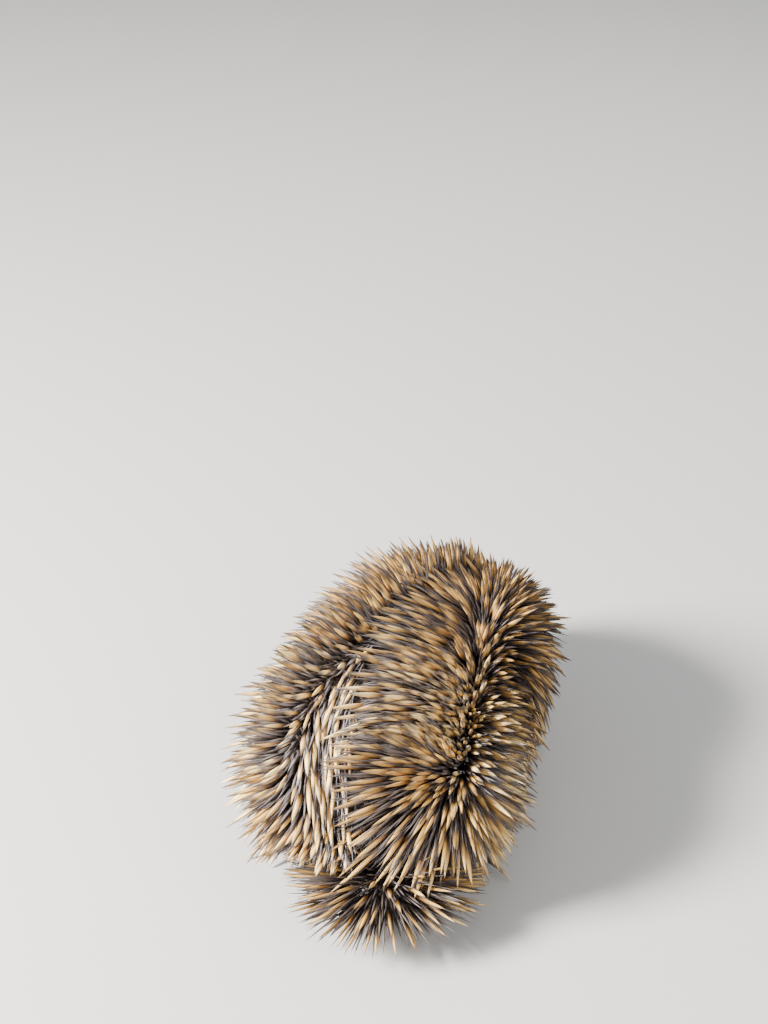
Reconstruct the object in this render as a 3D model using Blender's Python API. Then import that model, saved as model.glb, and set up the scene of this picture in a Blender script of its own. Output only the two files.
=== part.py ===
"""A short-beaked echidna at life size, hunkered down on its four feet.

The head points to +Y, the animal's right is +X and the floor is z = 0. The trunk bends to
the right. Lengths are in metres and angles are in degrees.
"""

import math
import random

import bmesh
import bpy
import numpy as np
from mathutils import Matrix, Vector
from mathutils.bvhtree import BVHTree

SEED = 11

# Places on the line of the body, in metres forward of its middle, and how the line runs
REAR = -0.136
HIP = -0.015
NECK_ROOT = 0.135
HEAD_ROOT = 0.190
BEAK_ROOT = 0.2475
BEAK_TIP = 0.303
AXIS_HEIGHT = 0.074
BEND_RADIUS = 0.320
HEAD_TURNED_BACK = 58.0
HEAD_PITCH, BEAK_PITCH = 34.0, 20.0
LINE_STEP = 0.001

# Half width, reach above and reach below the line, of the flesh
HIP_SECTION = (0.092, 0.082, 0.060)
HEAD_SECTION = (0.034, 0.038, 0.030)
BEAK_SECTION = (0.0125, 0.0125, 0.0115)
TIP_SECTION = (0.0058, 0.0050, 0.0055)
RUMP_WIDTH_POWER, RUMP_HEIGHT_POWER = 2.7, 2.05

# Where two parts meet, and how deep a spine is rooted
GAP = 0.0003
CUT_MARGIN = 0.0001
ROOT_DEPTH = 0.0045

# The stub of the tail under the rump: its section is half width, up and down
TAIL_START, TAIL_END, TAIL_CENTRE = -0.072, -0.158, -0.120
TAIL_SECTION = (0.036, 0.024, 0.021)
TAIL_SIDE, TAIL_HEIGHT, TAIL_ROOT_RISE = 0.004, 0.025, 0.032
TAIL_FAN_RADIUS = 0.038
TAIL_FAN_STEEP, TAIL_FAN_FLAT = 62.0, 3.0

# Spines: length, greatest radius, spacing and how far down the flank they grow
SPINE_LENGTH, SPINE_RADIUS = 0.050, 0.0023
TAIL_SPINE_LENGTH = 0.050
HEAD_SPINE_LENGTH, HEAD_SPINE_RADIUS = 0.019, 0.0013
LENGTH_VARIES = (0.88, 1.06)
TORSO_SPACING, NECK_SPACING, HEAD_SPACING, TAIL_SPACING = 0.0132, 0.0125, 0.0100, 0.0096
TORSO_DOWN_TO, NECK_DOWN_TO, HEAD_DOWN_TO, TAIL_DOWN_TO = 118.0, 104.0, 62.0, 100.0
ROOT_WANDER = 0.07
FLOOR_CLEARANCE = 0.003
SPINE_CLEARANCE = 0.0006
TRIMMED_AWAY = 0.003

# The whorl on the right of the rump, from which the spines radiate, and the way its middle points
WHORL_PLACE, WHORL_ANGLE = -0.060, 50.0
WHORL_POINTS, WHORL_INNER, WHORL_OUTER = (0.17, -0.74, 0.65), 0.014, 0.050
# Where the spines part, right and left of the back, and the seam between the two sides
RIGHT_PARTING_FRONT, RIGHT_PARTING_ANGLE = 0.140, 42.0
LEFT_PARTING = ((-0.113, 72), (-0.060, 63), (-0.028, 52), (0.013, 36), (0.045, 22), (0.1, 10), (0.2, 5))
SEAM = ((-0.130, -8), (-0.100, -5), (-0.060, -2))
SEAM_GAP, PARTING_BAND = 0.012, 0.045

# Feet: place along the line, place sideways, turn outwards from the body's heading, pad, claws
FORE_FOOT = {
    "along": 0.104, "side": 0.069, "turn": -12.0, "pad": (0.0165, 0.0185, 0.0150),
    "claws": (0.013, 0.020, 0.023, 0.021, 0.014), "claw_radius": 0.0031,
}
HIND_FOOT = {
    "along": -0.052, "side": 0.065, "turn": 150.0, "pad": (0.0150, 0.0215, 0.0150),
    "claws": (0.010, 0.030, 0.022, 0.016, 0.011), "claw_radius": 0.0028,
}
TOE_SPREAD = 23.0
TOE_SIZE = (0.0048, 0.0070, 0.0068)
CLAW_START_OUT, CLAW_START_UP = 0.0025, 0.0014
CLAW_ARCH, CLAW_SAG, CLAW_TIP_DROP = 0.0022, 0.0052, 0.0058
LEG_TOP_SIDE, LEG_TOP_HEIGHT, LEG_LOW_HEIGHT = 0.056, 0.066, 0.0105
LEG_TOP_RADIUS, LEG_LOW_RADIUS = 0.027, 0.0130
LEG_BOW = 0.16

# Eyes, ears, nostrils and mouth: places along the line, and angles from the top of the head
EYE_PLACE, EYE_ANGLE, EYE_RADIUS, EYE_SUNK = 0.2275, 66.0, 0.0043, 0.0017
LID_THICKNESS, LID_LENGTH, LID_HEIGHT, LID_LIFT = 0.0013, 1.10, 0.84, 0.0014
EAR_PLACE, EAR_ANGLE, EAR_SIZE = 0.2045, 84.0, (0.0045, 0.0065, 0.0095)
CUP_SIZE, CUP_OUT, CUP_AHEAD = (0.0038, 0.0047, 0.0070), 0.0045, 0.0042
NOSTRIL_BACK, NOSTRIL_ANGLE, NOSTRIL_SIZE = 0.0065, 34.0, (0.0006, 0.0016, 0.0009)
MOUTH_LENGTH, MOUTH_ANGLE, MOUTH_HALF_GAP = 0.014, 128.0, 0.00045

COLOURS = {
    "torso": (0.20, 0.13, 0.07, 1), "neck": (0.18, 0.12, 0.07, 1), "tail": (0.26, 0.18, 0.10, 1),
    "head": (0.10, 0.07, 0.045, 1), "beak": (0.045, 0.038, 0.036, 1), "eye": (0.01, 0.008, 0.007, 1),
    "ear": (0.09, 0.062, 0.05, 1), "leg": (0.07, 0.05, 0.035, 1), "foot": (0.08, 0.06, 0.045, 1),
    "claw": (0.17, 0.13, 0.10, 1),
}
ROUGHNESS = {"eye": 0.08, "beak": 0.45, "claw": 0.35}
PLAIN_ROUGHNESS = 0.7
SIDES = (("left", -1), ("right", 1))


def ease(start, end, value):
    """0 before start and 1 after end, with a smooth run between them."""
    t = min(max((value - start) / (end - start), 0.0), 1.0)
    return t * t * (3 - 2 * t)


def mix(a, b, share):
    return a + (b - a) * share


def unit(vector):
    return vector / np.linalg.norm(vector)


# The line of the body is walked in short steps, so that it can bend sideways and nod down


def facing(s):
    """The trunk bends to the right, and the neck brings the head back to face forwards."""
    return s / BEND_RADIUS - math.radians(HEAD_TURNED_BACK) * ease(0.085, 0.24, s)


def pitch(s):
    down = HEAD_PITCH * ease(0.12, 0.21, s)
    return math.radians(down - (HEAD_PITCH - BEAK_PITCH) * ease(0.235, 0.28, s))


def line_axes(s):
    """Forward, right and up on the body's line."""
    turn, nod = facing(s), pitch(s)
    flat = math.cos(nod)
    forward = np.array([math.sin(turn) * flat, math.cos(turn) * flat, -math.sin(nod)])
    right = np.array([math.cos(turn), -math.sin(turn), 0.0])
    return forward, right, np.cross(right, forward)


STATIONS = np.arange(REAR - 0.03, BEAK_TIP + 0.01, LINE_STEP)
STRIDES = [line_axes(s + LINE_STEP / 2)[0] * LINE_STEP for s in STATIONS]
WALKED = np.cumsum(STRIDES, axis=0)
WALKED += np.array([0.0, 0.0, AXIS_HEIGHT]) - WALKED[np.argmin(abs(STATIONS))]


def line_point(s):
    return np.array([np.interp(s, STATIONS, WALKED[:, k]) for k in range(3)])


# The flesh is an oval around that line


def section(s):
    """Half width, reach up and reach down of the flesh at a place on the line."""
    taper = min(max((s - BEAK_ROOT) / (BEAK_TIP - BEAK_ROOT), 0.0), 1.0)
    sizes = []
    for hip, head, beak, tip in zip(HIP_SECTION, HEAD_SECTION, BEAK_SECTION, TIP_SECTION):
        size = mix(hip, head, ease(0.08, 0.215, s))
        size = mix(size, beak, ease(0.200, 0.252, s))
        sizes.append(mix(size, tip, taper))
    half, up, down = sizes
    if s < HIP:
        t = min((HIP - s) / (HIP - REAR), 1.0)
        round_width = (1 - t**RUMP_WIDTH_POWER) ** (1 / RUMP_WIDTH_POWER)
        round_height = (1 - t**RUMP_HEIGHT_POWER) ** (1 / RUMP_HEIGHT_POWER)
        half, up, down = half * round_width, up * round_height, down * round_height
    return half, up, down


def body_point(s, angle):
    """A point on the flesh: the angle runs from the top of the back down the right side."""
    half, up, down = section(s)
    _, right, above = line_axes(s)
    a = math.radians(angle)
    height = up if math.cos(a) > 0 else down
    return line_point(s) + right * half * math.sin(a) + above * height * math.cos(a)


def tail_middle(s):
    """The tail's own line, which rises into the belly at its front."""
    middle = line_point(s) + line_axes(s)[1] * TAIL_SIDE
    middle[2] = TAIL_HEIGHT + TAIL_ROOT_RISE * ease(TAIL_CENTRE, TAIL_START, s)
    return middle


def tail_point(s, angle):
    """A point on the stub of the tail, a low rounded cone that lies close to the floor."""
    half, up, down = TAIL_SECTION
    t = min(max((TAIL_CENTRE - s) / (TAIL_CENTRE - TAIL_END), 0.0), 1.0)
    narrow = math.sqrt(max(1 - t**2.2, 0.0))
    _, right, _ = line_axes(s)
    a = math.radians(angle)
    height = up if math.cos(a) > 0 else down
    lift = np.array([0.0, 0.0, height * math.cos(a) * narrow])
    return tail_middle(s) + right * half * math.sin(a) * narrow + lift


def surface_axes(point, s, angle, first, last):
    """Place, outward normal, backward and rightward directions on a surface."""
    small = 0.0002
    s = min(max(s, first + 2 * small), last - 2 * small)
    along = point(s + small, angle) - point(s - small, angle)
    around = point(s, angle + 0.1) - point(s, angle - 0.1)
    normal = unit(np.cross(along, around))
    place = point(s, angle)
    inside = 0.5 * (place + point(s, angle + 180))
    if normal @ (place - inside) < 0:
        normal = -normal
    return place, normal, -unit(along), unit(around)


# Closed meshes


def new_object(name, mesh, collection):
    obj = bpy.data.objects.new(name, mesh)
    collection.objects.link(obj)
    if collection is cutters:
        obj.hide_render = True
        obj.display_type = "WIRE"
    return obj


def mesh_of(name, bm):
    bmesh.ops.recalc_face_normals(bm, faces=bm.faces)
    mesh = bpy.data.meshes.new(name)
    bm.to_mesh(mesh)
    bm.free()
    return mesh


def loft(name, rings, first_cap=None, last_cap=None):
    """A closed surface through rings of points: a cap is a flat face, or a given point."""
    bm = bmesh.new()
    rows = [[bm.verts.new(p) for p in ring] for ring in rings]
    count = len(rows[0])
    for low, high in zip(rows, rows[1:]):
        for i in range(count):
            j = (i + 1) % count
            bm.faces.new((low[i], low[j], high[j], high[i]))
    for row, cap in ((rows[0], first_cap), (rows[-1], last_cap)):
        if cap is None:
            bm.faces.new(row)
            continue
        tip = bm.verts.new(cap)
        for i in range(count):
            bm.faces.new((row[i], row[(i + 1) % count], tip))
    return mesh_of(name, bm)


def body_rings(places, sides, point=body_point):
    return [[point(s, 360 * i / sides) for i in range(sides)] for s in places]


def circle(centre, radius, across, over, sides):
    turns = [2 * math.pi * k / sides for k in range(sides)]
    return [centre + radius * (across * math.cos(t) + over * math.sin(t)) for t in turns]


def ball(bm, centre, size, turn=0.0, segments=12, rows=8):
    """An ellipsoid with half axes size, turned about the vertical."""
    place = Matrix.Translation(centre) @ Matrix.Rotation(turn, 4, "Z")
    matrix = place @ Matrix.Diagonal((*size, 1.0))
    bmesh.ops.create_uvsphere(bm, u_segments=segments, v_segments=rows, radius=1.0, matrix=matrix)


def ball_object(name, collection, centre, size, turn=0.0, segments=12, rows=8):
    bm = bmesh.new()
    ball(bm, centre, size, turn, segments, rows)
    return new_object(name, mesh_of(name, bm), collection)


def keep_largest(obj):
    """Only the largest closed surface stays."""
    bm = bmesh.new()
    bm.from_mesh(obj.data)
    left, shells = set(bm.verts), []
    while left:
        queue, shell = [left.pop()], []
        while queue:
            vert = queue.pop()
            shell.append(vert)
            for edge in vert.link_edges:
                other = edge.other_vert(vert)
                if other in left:
                    left.remove(other)
                    queue.append(other)
        shells.append(shell)
    shells.sort(key=len)
    for shell in shells[:-1]:
        bmesh.ops.delete(bm, geom=shell, context="VERTS")
    bm.to_mesh(obj.data)
    bm.free()


def combine(obj, others, operation, solver="EXACT"):
    """Applies one Boolean with a collection of closed meshes, which are then removed."""
    if not others:
        return
    group = bpy.data.collections.new("operands")
    for other in others:
        group.objects.link(other)
    modifier = obj.modifiers.new("combine", "BOOLEAN")
    modifier.operation = operation
    modifier.operand_type = "COLLECTION"
    modifier.collection = group
    modifier.solver = solver
    graph = bpy.context.evaluated_depsgraph_get()
    mesh = bpy.data.meshes.new_from_object(obj.evaluated_get(graph))
    obj.modifiers.clear()
    obj.data = mesh
    for other in others:
        bpy.data.objects.remove(other)
    bpy.data.collections.remove(group)
    keep_largest(obj)


def swollen(obj):
    """A copy that is a little larger all round, to cut a neighbour with a gap."""
    bm = bmesh.new()
    bm.from_mesh(obj.data)
    bm.normal_update()
    for vert in bm.verts:
        vert.co += vert.normal * (GAP + CUT_MARGIN) * vert.calc_shell_factor()
    return new_object(obj.name + "_swollen", mesh_of(obj.name, bm), cutters)


def finish(obj, kind):
    """The part's own material and smooth shading."""
    material = bpy.data.materials.new(obj.name)
    material.use_nodes = True
    shader = material.node_tree.nodes["Principled BSDF"]
    shader.inputs["Base Color"].default_value = COLOURS[kind]
    shader.inputs["Roughness"].default_value = ROUGHNESS.get(kind, PLAIN_ROUGHNESS)
    shader.inputs["Metallic"].default_value = 0.0
    obj.data.materials.clear()
    obj.data.materials.append(material)
    obj.data.shade_smooth()
    obj.data.set_sharp_from_angle(angle=math.radians(40))


# The trunk, the neck and the tail


def make_torso():
    """Its rings crowd towards the rear pole, so that the rump stays round."""
    swing = [math.pi / 2 * (i + 0.6) / 9 for i in range(9)]
    places = [HIP - (HIP - REAR) * math.cos(t) for t in swing]
    places += [0.01, 0.035, 0.06, 0.085, 0.105, 0.122, NECK_ROOT - GAP / 2]
    mesh = loft("torso", body_rings(places, 28), first_cap=body_point(REAR, 0))
    return new_object("torso", mesh, parts)


def make_neck():
    places = [NECK_ROOT + GAP / 2, 0.148, 0.161, 0.174, HEAD_ROOT - GAP / 2]
    return new_object("neck", loft("neck", body_rings(places, 24)), parts)


def make_tail(torso):
    places = [mix(TAIL_START, TAIL_CENTRE, share) for share in (0.0, 0.25, 0.5, 0.75, 1.0)]
    swing = [math.pi / 2 * i / 9 for i in range(1, 9)]
    places += [mix(TAIL_CENTRE, TAIL_END, math.sin(t)) for t in swing]
    mesh = loft("tail", body_rings(places, 20, tail_point), last_cap=tail_point(TAIL_END, 0))
    tail = new_object("tail", mesh, parts)
    combine(tail, [swollen(torso)], "DIFFERENCE")
    return tail


# The head


def make_head():
    """A skull with sockets for the eyes and a rim of lids round each."""
    places = [HEAD_ROOT + GAP / 2, 0.197, 0.204, 0.211, 0.218, 0.225, 0.232, 0.239]
    places.append(BEAK_ROOT - GAP / 2)
    head = new_object("head", loft("head", body_rings(places, 18)), parts)
    forward, _, _ = line_axes(EYE_PLACE)
    sockets, lids = [], []
    for label, side in SIDES:
        place, normal, _, _ = surface_axes(body_point, EYE_PLACE, side * EYE_ANGLE, REAR, BEAK_TIP)
        centre = place - normal * EYE_SUNK
        lids.append(lid_ring(centre + normal * LID_LIFT, normal, forward))
        sockets.append(ball_object("socket", cutters, centre, [EYE_RADIUS + GAP] * 3))
        finish(ball_object("eye_" + label, parts, centre, [EYE_RADIUS] * 3), "eye")
    combine(head, lids, "UNION", "MANIFOLD")
    combine(head, sockets, "DIFFERENCE", "MANIFOLD")
    return head


def lid_ring(centre, normal, forward):
    """Upper and lower lid as one almond-shaped rim around the eye."""
    across = unit(np.cross(normal, forward))
    along = np.cross(across, normal)
    count, sides = 12, 5
    bm = bmesh.new()
    rows = []
    for i in range(count):
        a = 2 * math.pi * i / count
        out = along * math.cos(a) * LID_LENGTH + across * math.sin(a) * LID_HEIGHT
        ring = circle(centre + out * EYE_RADIUS, LID_THICKNESS, unit(out), normal, sides)
        rows.append([bm.verts.new(p) for p in ring])
    for i, row in enumerate(rows):
        after = rows[(i + 1) % count]
        for k in range(sides):
            bm.faces.new((row[k], row[(k + 1) % sides], after[(k + 1) % sides], after[k]))
    return new_object("lids", mesh_of("lids", bm), cutters)


def make_beak():
    """A thin bill with two nostrils on top and a short mouth below its tip."""
    start = BEAK_ROOT + GAP / 2
    places = np.linspace(start, BEAK_TIP - 0.004, 6)
    rings = body_rings(places, 12)
    blunt = BEAK_TIP - 0.0012
    middle = line_point(blunt)
    rings.append([mix(middle, point, 0.72) for point in body_rings([blunt], 12)[0]])
    beak = new_object("beak", loft("beak", rings, last_cap=line_point(BEAK_TIP)), parts)
    cuts = [make_mouth()]
    for _, side in SIDES:
        place = body_point(BEAK_TIP - NOSTRIL_BACK, side * NOSTRIL_ANGLE)
        cuts.append(ball_object("nostril", cutters, place, NOSTRIL_SIZE, -facing(BEAK_TIP), 8, 6))
    combine(beak, cuts, "DIFFERENCE")
    return beak


def make_mouth():
    """A thin slab that cuts the line of the mouth from side to side."""
    _, right, _ = line_axes(BEAK_TIP)
    across = right * 0.009
    gap = np.array([0.0, 0.0, MOUTH_HALF_GAP])
    rings = []
    for s in (BEAK_TIP - MOUTH_LENGTH, BEAK_TIP + 0.004):
        middle = 0.5 * (body_point(s, MOUTH_ANGLE) + body_point(s, -MOUTH_ANGLE))
        corners = (-across - gap, across - gap, across + gap, gap - across)
        rings.append([middle + corner for corner in corners])
    return new_object("mouth", loft("mouth", rings), cutters)


def make_ears(head, neck):
    """Each ear is a low cup that opens forwards, half hidden behind the cheek."""
    turn = -facing(EAR_PLACE)
    forward, _, _ = line_axes(EAR_PLACE)
    ears = []
    for label, side in SIDES:
        place, normal, _, _ = surface_axes(body_point, EAR_PLACE, side * EAR_ANGLE, REAR, BEAK_TIP)
        ear = ball_object("ear_" + label, parts, place + normal * 0.001, EAR_SIZE, turn, 11, 8)
        middle = place + normal * CUP_OUT + forward * CUP_AHEAD
        cup = ball_object("cup", cutters, middle, CUP_SIZE, turn, 9, 6)
        combine(ear, [cup, swollen(head), swollen(neck)], "DIFFERENCE")
        ears.append(ear)
    return ears


# Legs and feet


def on_floor(along, side, height=0.0):
    """A place beside the line of the body, at a height over the floor."""
    _, right, _ = line_axes(along)
    place = line_point(along) + right * side
    place[2] = height
    return place


def cut_flat(bm):
    """Cuts the shape level with the floor and closes it with one flat face."""
    geometry = bm.verts[:] + bm.edges[:] + bm.faces[:]
    cut = bmesh.ops.bisect_plane(
        bm, geom=geometry, plane_co=(0, 0, 0), plane_no=(0, 0, -1), clear_outer=True
    )
    edges = [e for e in cut["geom_cut"] if isinstance(e, bmesh.types.BMEdge)]
    bmesh.ops.contextual_create(bm, geom=edges)


def make_foot(kind, plan, label, side):
    """A broad pad with five toes on one flat sole, and a claw of its own on each toe."""
    turn = -facing(plan["along"]) - side * math.radians(plan["turn"])
    centre = on_floor(plan["along"], side * plan["side"], plan["pad"][2] * 0.45)
    bm = bmesh.new()
    ball(bm, centre, plan["pad"], turn, 10, 6)
    cut_flat(bm)
    foot = new_object(f"{kind}_foot_{label}", mesh_of("foot", bm), parts)
    toes, claws = [], []
    for i, length in enumerate(plan["claws"]):
        order = i if side > 0 else len(plan["claws"]) - 1 - i
        heading = turn + math.radians(90 + (2 - order) * TOE_SPREAD)
        out = np.array([math.cos(heading), math.sin(heading), 0.0])
        root = centre + out * plan["pad"][1] * (0.86 if abs(i - 2) < 2 else 0.74)
        root[2] = TOE_SIZE[2]
        toe = bmesh.new()
        ball(toe, root, TOE_SIZE, heading - math.pi / 2, 7, 5)
        cut_flat(toe)
        toes.append(new_object("toe", mesh_of("toe", toe), cutters))
        claws.append(make_claw(f"{kind}_claw_{label}_{i + 1}", root, out, length, plan["claw_radius"]))
    combine(foot, toes, "UNION")
    for claw in claws:
        combine(claw, [swollen(foot)], "DIFFERENCE")
        finish(claw, "claw")
    finish(foot, "foot")
    return foot


def make_claw(name, root, out, length, radius):
    """A blunt digging claw that leaves the toe level and curves down to the floor."""
    start = root + out * CLAW_START_OUT + np.array([0.0, 0.0, CLAW_START_UP])
    side = np.array([out[1], -out[0], 0.0])
    over = np.array([0.0, 0.0, 0.8])
    reach = CLAW_START_OUT + 0.001 + length
    rings = []
    for t in (0.0, 0.25, 0.5, 0.75):
        sag = CLAW_ARCH * math.sin(math.pi * t) - CLAW_SAG * t * t
        middle = start + out * reach * t + np.array([0.0, 0.0, sag])
        rings.append(circle(middle, radius * (1 - 0.68 * t**1.6), side, over, 6))
    tip = start + out * reach - np.array([0.0, 0.0, CLAW_TIP_DROP])
    return new_object(name, loft(name, rings, last_cap=tip), parts)


def make_leg(kind, plan, label, side, flesh, foot):
    """A short stout limb that bows outwards from the flank down to the foot."""
    top = on_floor(plan["along"] * 0.9, side * LEG_TOP_SIDE, LEG_TOP_HEIGHT)
    low = on_floor(plan["along"], side * (plan["side"] - 0.003), LEG_LOW_HEIGHT)
    bend = 0.5 * (top + low) + (low - top) * np.array([LEG_BOW, LEG_BOW, 0.0])
    _, right, _ = line_axes(plan["along"])
    forward = np.cross([0.0, 0.0, 1.0], right)
    rings = []
    for t in (0.0, 0.25, 0.5, 0.75, 1.0):
        middle = (1 - t) ** 2 * top + 2 * t * (1 - t) * bend + t * t * low
        rings.append(circle(middle, mix(LEG_TOP_RADIUS, LEG_LOW_RADIUS, t), right, forward, 10))
    name = f"{kind}_leg_{label}"
    leg = new_object(name, loft(name, rings), parts)
    combine(leg, [swollen(piece) for piece in flesh + [foot]], "DIFFERENCE")
    finish(leg, "leg")
    return leg


# The lie of the spines


def seam(s):
    """The angle at which the right lobe's spines end, over those of the left."""
    return np.interp(s, [p[0] for p in SEAM], [p[1] for p in SEAM])


def leaned(normal, way, lean):
    lean = math.radians(lean)
    return normal * math.cos(lean) + way * math.sin(lean)


def combed(back, lateral, swing):
    swing = math.radians(swing)
    return back * math.cos(swing) - lateral * math.sin(swing)


def right_lie(s, angle, place, normal, back, lateral):
    """A parting ahead, a fan over the rump, and between them the whorl, which points back and up."""
    half, up, _ = section(s)
    share = min(max((s - WHORL_PLACE) / (RIGHT_PARTING_FRONT - WHORL_PLACE), 0.0), 1.0)
    parting = mix(WHORL_ANGLE + 2, RIGHT_PARTING_ANGLE, share**0.8)
    beyond = math.radians(angle - parting) * 0.5 * (half + up)
    flank = mix(60, 50, ease(0.05, 0.10, s))
    lean = mix(mix(20, 62, ease(0.002, PARTING_BAND, -beyond)), flank, ease(0.002, PARTING_BAND, beyond))
    swing = 50 * ease(0, 0.02, -beyond) - 70 * ease(0, 0.03, beyond)
    ahead = leaned(normal, combed(back, lateral, swing), lean)

    away = place - body_point(WHORL_PLACE, WHORL_ANGLE)
    far = np.linalg.norm(away)
    along = away - normal * (away @ normal)
    radial = leaned(normal, unit(along), 58 + 16 * ease(0.05, 0.09, far))
    past = ease(WHORL_PLACE - 0.010, WHORL_PLACE + 0.030, s + 0.45 * max(-beyond, 0.0))
    axis = unit(np.array(WHORL_POINTS))
    whorl = leaned(axis, unit(away - axis * (away @ axis)), 62 * ease(0.001, 0.036, far))
    return unit(mix(whorl, unit(mix(radial, ahead, past)), ease(WHORL_INNER, WHORL_OUTER, far)))


def left_lie(s, angle, normal, back, lateral):
    """Left of the seam they hang straight beside it, and stand out beyond the parting line."""
    half, up, _ = section(s)
    parting = np.interp(s, [p[0] for p in LEFT_PARTING], [p[1] for p in LEFT_PARTING])
    beyond = math.radians(-angle - parting) * 0.5 * (half + up)
    lean = mix(mix(30, 76, ease(0, PARTING_BAND, -beyond)), 46, ease(0, PARTING_BAND, beyond))
    beside = 1 - ease(0.025, 0.05, -beyond)
    swing = 14 * ease(0, 0.02, -beyond) * beside - 58 * ease(0, 0.03, beyond)
    axle = line_axes(-0.100)[1]
    straight = unit(np.cross(axle, normal))
    upright = ease(0.030, 0.075, -s) * (1 - ease(0.70, 0.95, abs(normal @ axle)))
    back = unit(mix(back, straight, upright))
    return unit(leaned(normal, combed(back, np.cross(back, normal), swing), lean))


def body_lie(s, angle):
    """Root, outward normal and direction of the spine that grows here on the body."""
    place, normal, back, side = surface_axes(body_point, s, angle, REAR, BEAK_TIP)
    if angle >= seam(s):
        return place, normal, right_lie(s, angle, place, normal, back, side)
    return place, normal, left_lie(s, angle, normal, back, -side)


def in_the_gap(s, angle):
    """Whether a root lies just left of the seam, where only the right lobe's tips show."""
    half = section(s)[0]
    sideways = half * (math.sin(math.radians(seam(s))) - math.sin(math.radians(angle)))
    return angle < seam(s) and abs(angle) < 90 and sideways < SEAM_GAP * (1 - ease(0.05, 0.12, s))


def tail_lie(s, angle):
    """On the tail they spread like a fan, low over the floor."""
    place, normal, _, _ = surface_axes(tail_point, s, angle, TAIL_END, TAIL_START)
    out = place - tail_middle(TAIL_CENTRE)
    out[2] = 0.0
    share = min(np.linalg.norm(out) / TAIL_FAN_RADIUS, 1.0)
    rise = math.radians(mix(TAIL_FAN_STEEP, TAIL_FAN_FLAT, share**1.4))
    return place, normal, unit(out) * math.cos(rise) + np.array([0.0, 0.0, math.sin(rise)])


def rows_of_roots(point, first, last, spacing, reach_down, draw):
    """Staggered rows of roots, evenly spread over a surface from one place to another."""
    places = np.linspace(first, last, 400)
    walked = np.zeros(len(places))
    for line in ([0.5 * (point(s, 0) + point(s, 90)) for s in places], [point(s, 90) for s in places]):
        strides = np.linalg.norm(np.diff(np.array(line), axis=0), axis=1)
        walked[1:] += 0.5 * np.cumsum(strides)
    count = max(2, round(walked[-1] / (spacing * 0.87)))
    roots = []
    for row in range(count):
        s = np.interp((row + 0.5) * walked[-1] / count, walked, places)
        wide = np.linalg.norm(point(s, 90) - point(s, -90))
        high = np.linalg.norm(point(s, 0) - point(s, 180))
        radius = 0.25 * (wide + high)
        across = max(1, round(math.radians(2 * reach_down) * radius / spacing))
        for k in range(across):
            share = (k + (0.25 if row % 2 else 0.75)) / across
            wander = math.degrees(draw.gauss(0, ROOT_WANDER) * spacing / radius)
            shift = draw.gauss(0, ROOT_WANDER) * spacing
            roots.append((s + shift, (2 * share - 1) * reach_down + wander))
    return roots


# Growing the spines clear of one another, of their neighbours and of the floor


def spine_object(root, direction, length, radius):
    """A three-sided quill: a short swelling from the root, then a long taper to the point."""
    swell = length * 0.38 + ROOT_DEPTH
    bm = bmesh.new()
    bmesh.ops.create_cone(
        bm, cap_ends=True, segments=3, radius1=radius * 0.8, radius2=radius, depth=swell,
        matrix=Matrix.Translation((0, 0, swell / 2 - ROOT_DEPTH)),
    )
    top = max(bm.faces, key=lambda face: face.calc_center_median().z)
    point = bmesh.ops.poke(bm, faces=[top])["verts"][0]
    point.co.z = length
    turn = Vector((0, 0, 1)).rotation_difference(Vector(direction)).to_matrix().to_4x4()
    bm.transform(Matrix.Translation(Vector(root)) @ turn)
    return new_object("spine", mesh_of("spine", bm), cutters)


def thickness(share):
    """How thick a spine is along its length, as a share of its greatest radius."""
    return np.clip(1.6 * (1 - share), 0.15, 1.0)


def blocked(root, direction, length, radius, grown, neighbours):
    """Whether a spine would come too near another spine, another part or the floor."""
    shares = np.linspace(0.0, 1.0, 8)
    points = root + np.outer(shares * length, direction)
    radii = radius * thickness(shares)
    if (points[:, 2] - radii).min() < FLOOR_CLEARANCE:
        return True
    for tree in neighbours:
        if tree.ray_cast(Vector(root), Vector(direction), length + SPINE_CLEARANCE)[0]:
            return True
        for p, r in zip(points, radii):
            if tree.find_nearest(Vector(p))[3] < r + GAP + SPINE_CLEARANCE:
                return True
    if not grown:
        return False
    starts = np.array([g[0] for g in grown])
    spans = np.array([g[1] * g[2] for g in grown])
    squares = (spans**2).sum(axis=1)
    for p, r in zip(points, radii):
        share = np.clip(((p - starts) * spans).sum(axis=1) / squares, 0, 1)
        away = np.linalg.norm(p - starts - spans * share[:, None], axis=1)
        if (away < r + SPINE_RADIUS * thickness(share) + SPINE_CLEARANCE).any():
            return True
    return False


def surface_tree(obj):
    mesh = obj.data
    return BVHTree.FromPolygons([v.co for v in mesh.vertices], [p.vertices for p in mesh.polygons])


def covered(tree, place, way):
    """Whether a place lies inside a closed surface: looking out, its far wall comes first."""
    near, normal, _, _ = tree.ray_cast(Vector(place), Vector(way))
    return near is not None and normal.dot(Vector(way)) > 0


def grow(obj, roots, lie, length_of, neighbours, grown, radius=SPINE_RADIUS):
    """Sets a spine on each root, lifted or shortened where the way is blocked."""
    own, *trees = [surface_tree(piece) for piece in [obj] + neighbours]
    tries = [(share, lift) for share in (1.0, 0.75, 0.5) for lift in (0.0, 0.2, 0.45, 0.8)]
    spines = []
    for s, angle in roots:
        place, normal, direction = lie(s, angle)
        full = length_of(s, angle)
        if own.find_nearest(Vector(place))[3] > TRIMMED_AWAY:
            continue
        if any(covered(tree, place, way) for tree in trees for way in (normal, direction)):
            continue
        for share, lift in tries:
            way = unit(mix(direction, normal, lift))
            if not blocked(place, way, full * share, radius, grown, trees):
                grown.append((place, way, full * share))
                spines.append(spine_object(place, way, full * share, radius))
                break
    count = len(spines)
    combine(obj, spines, "UNION")
    print(obj.name, "carries", count, "spines,", len(obj.data.polygons), "faces")


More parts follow.
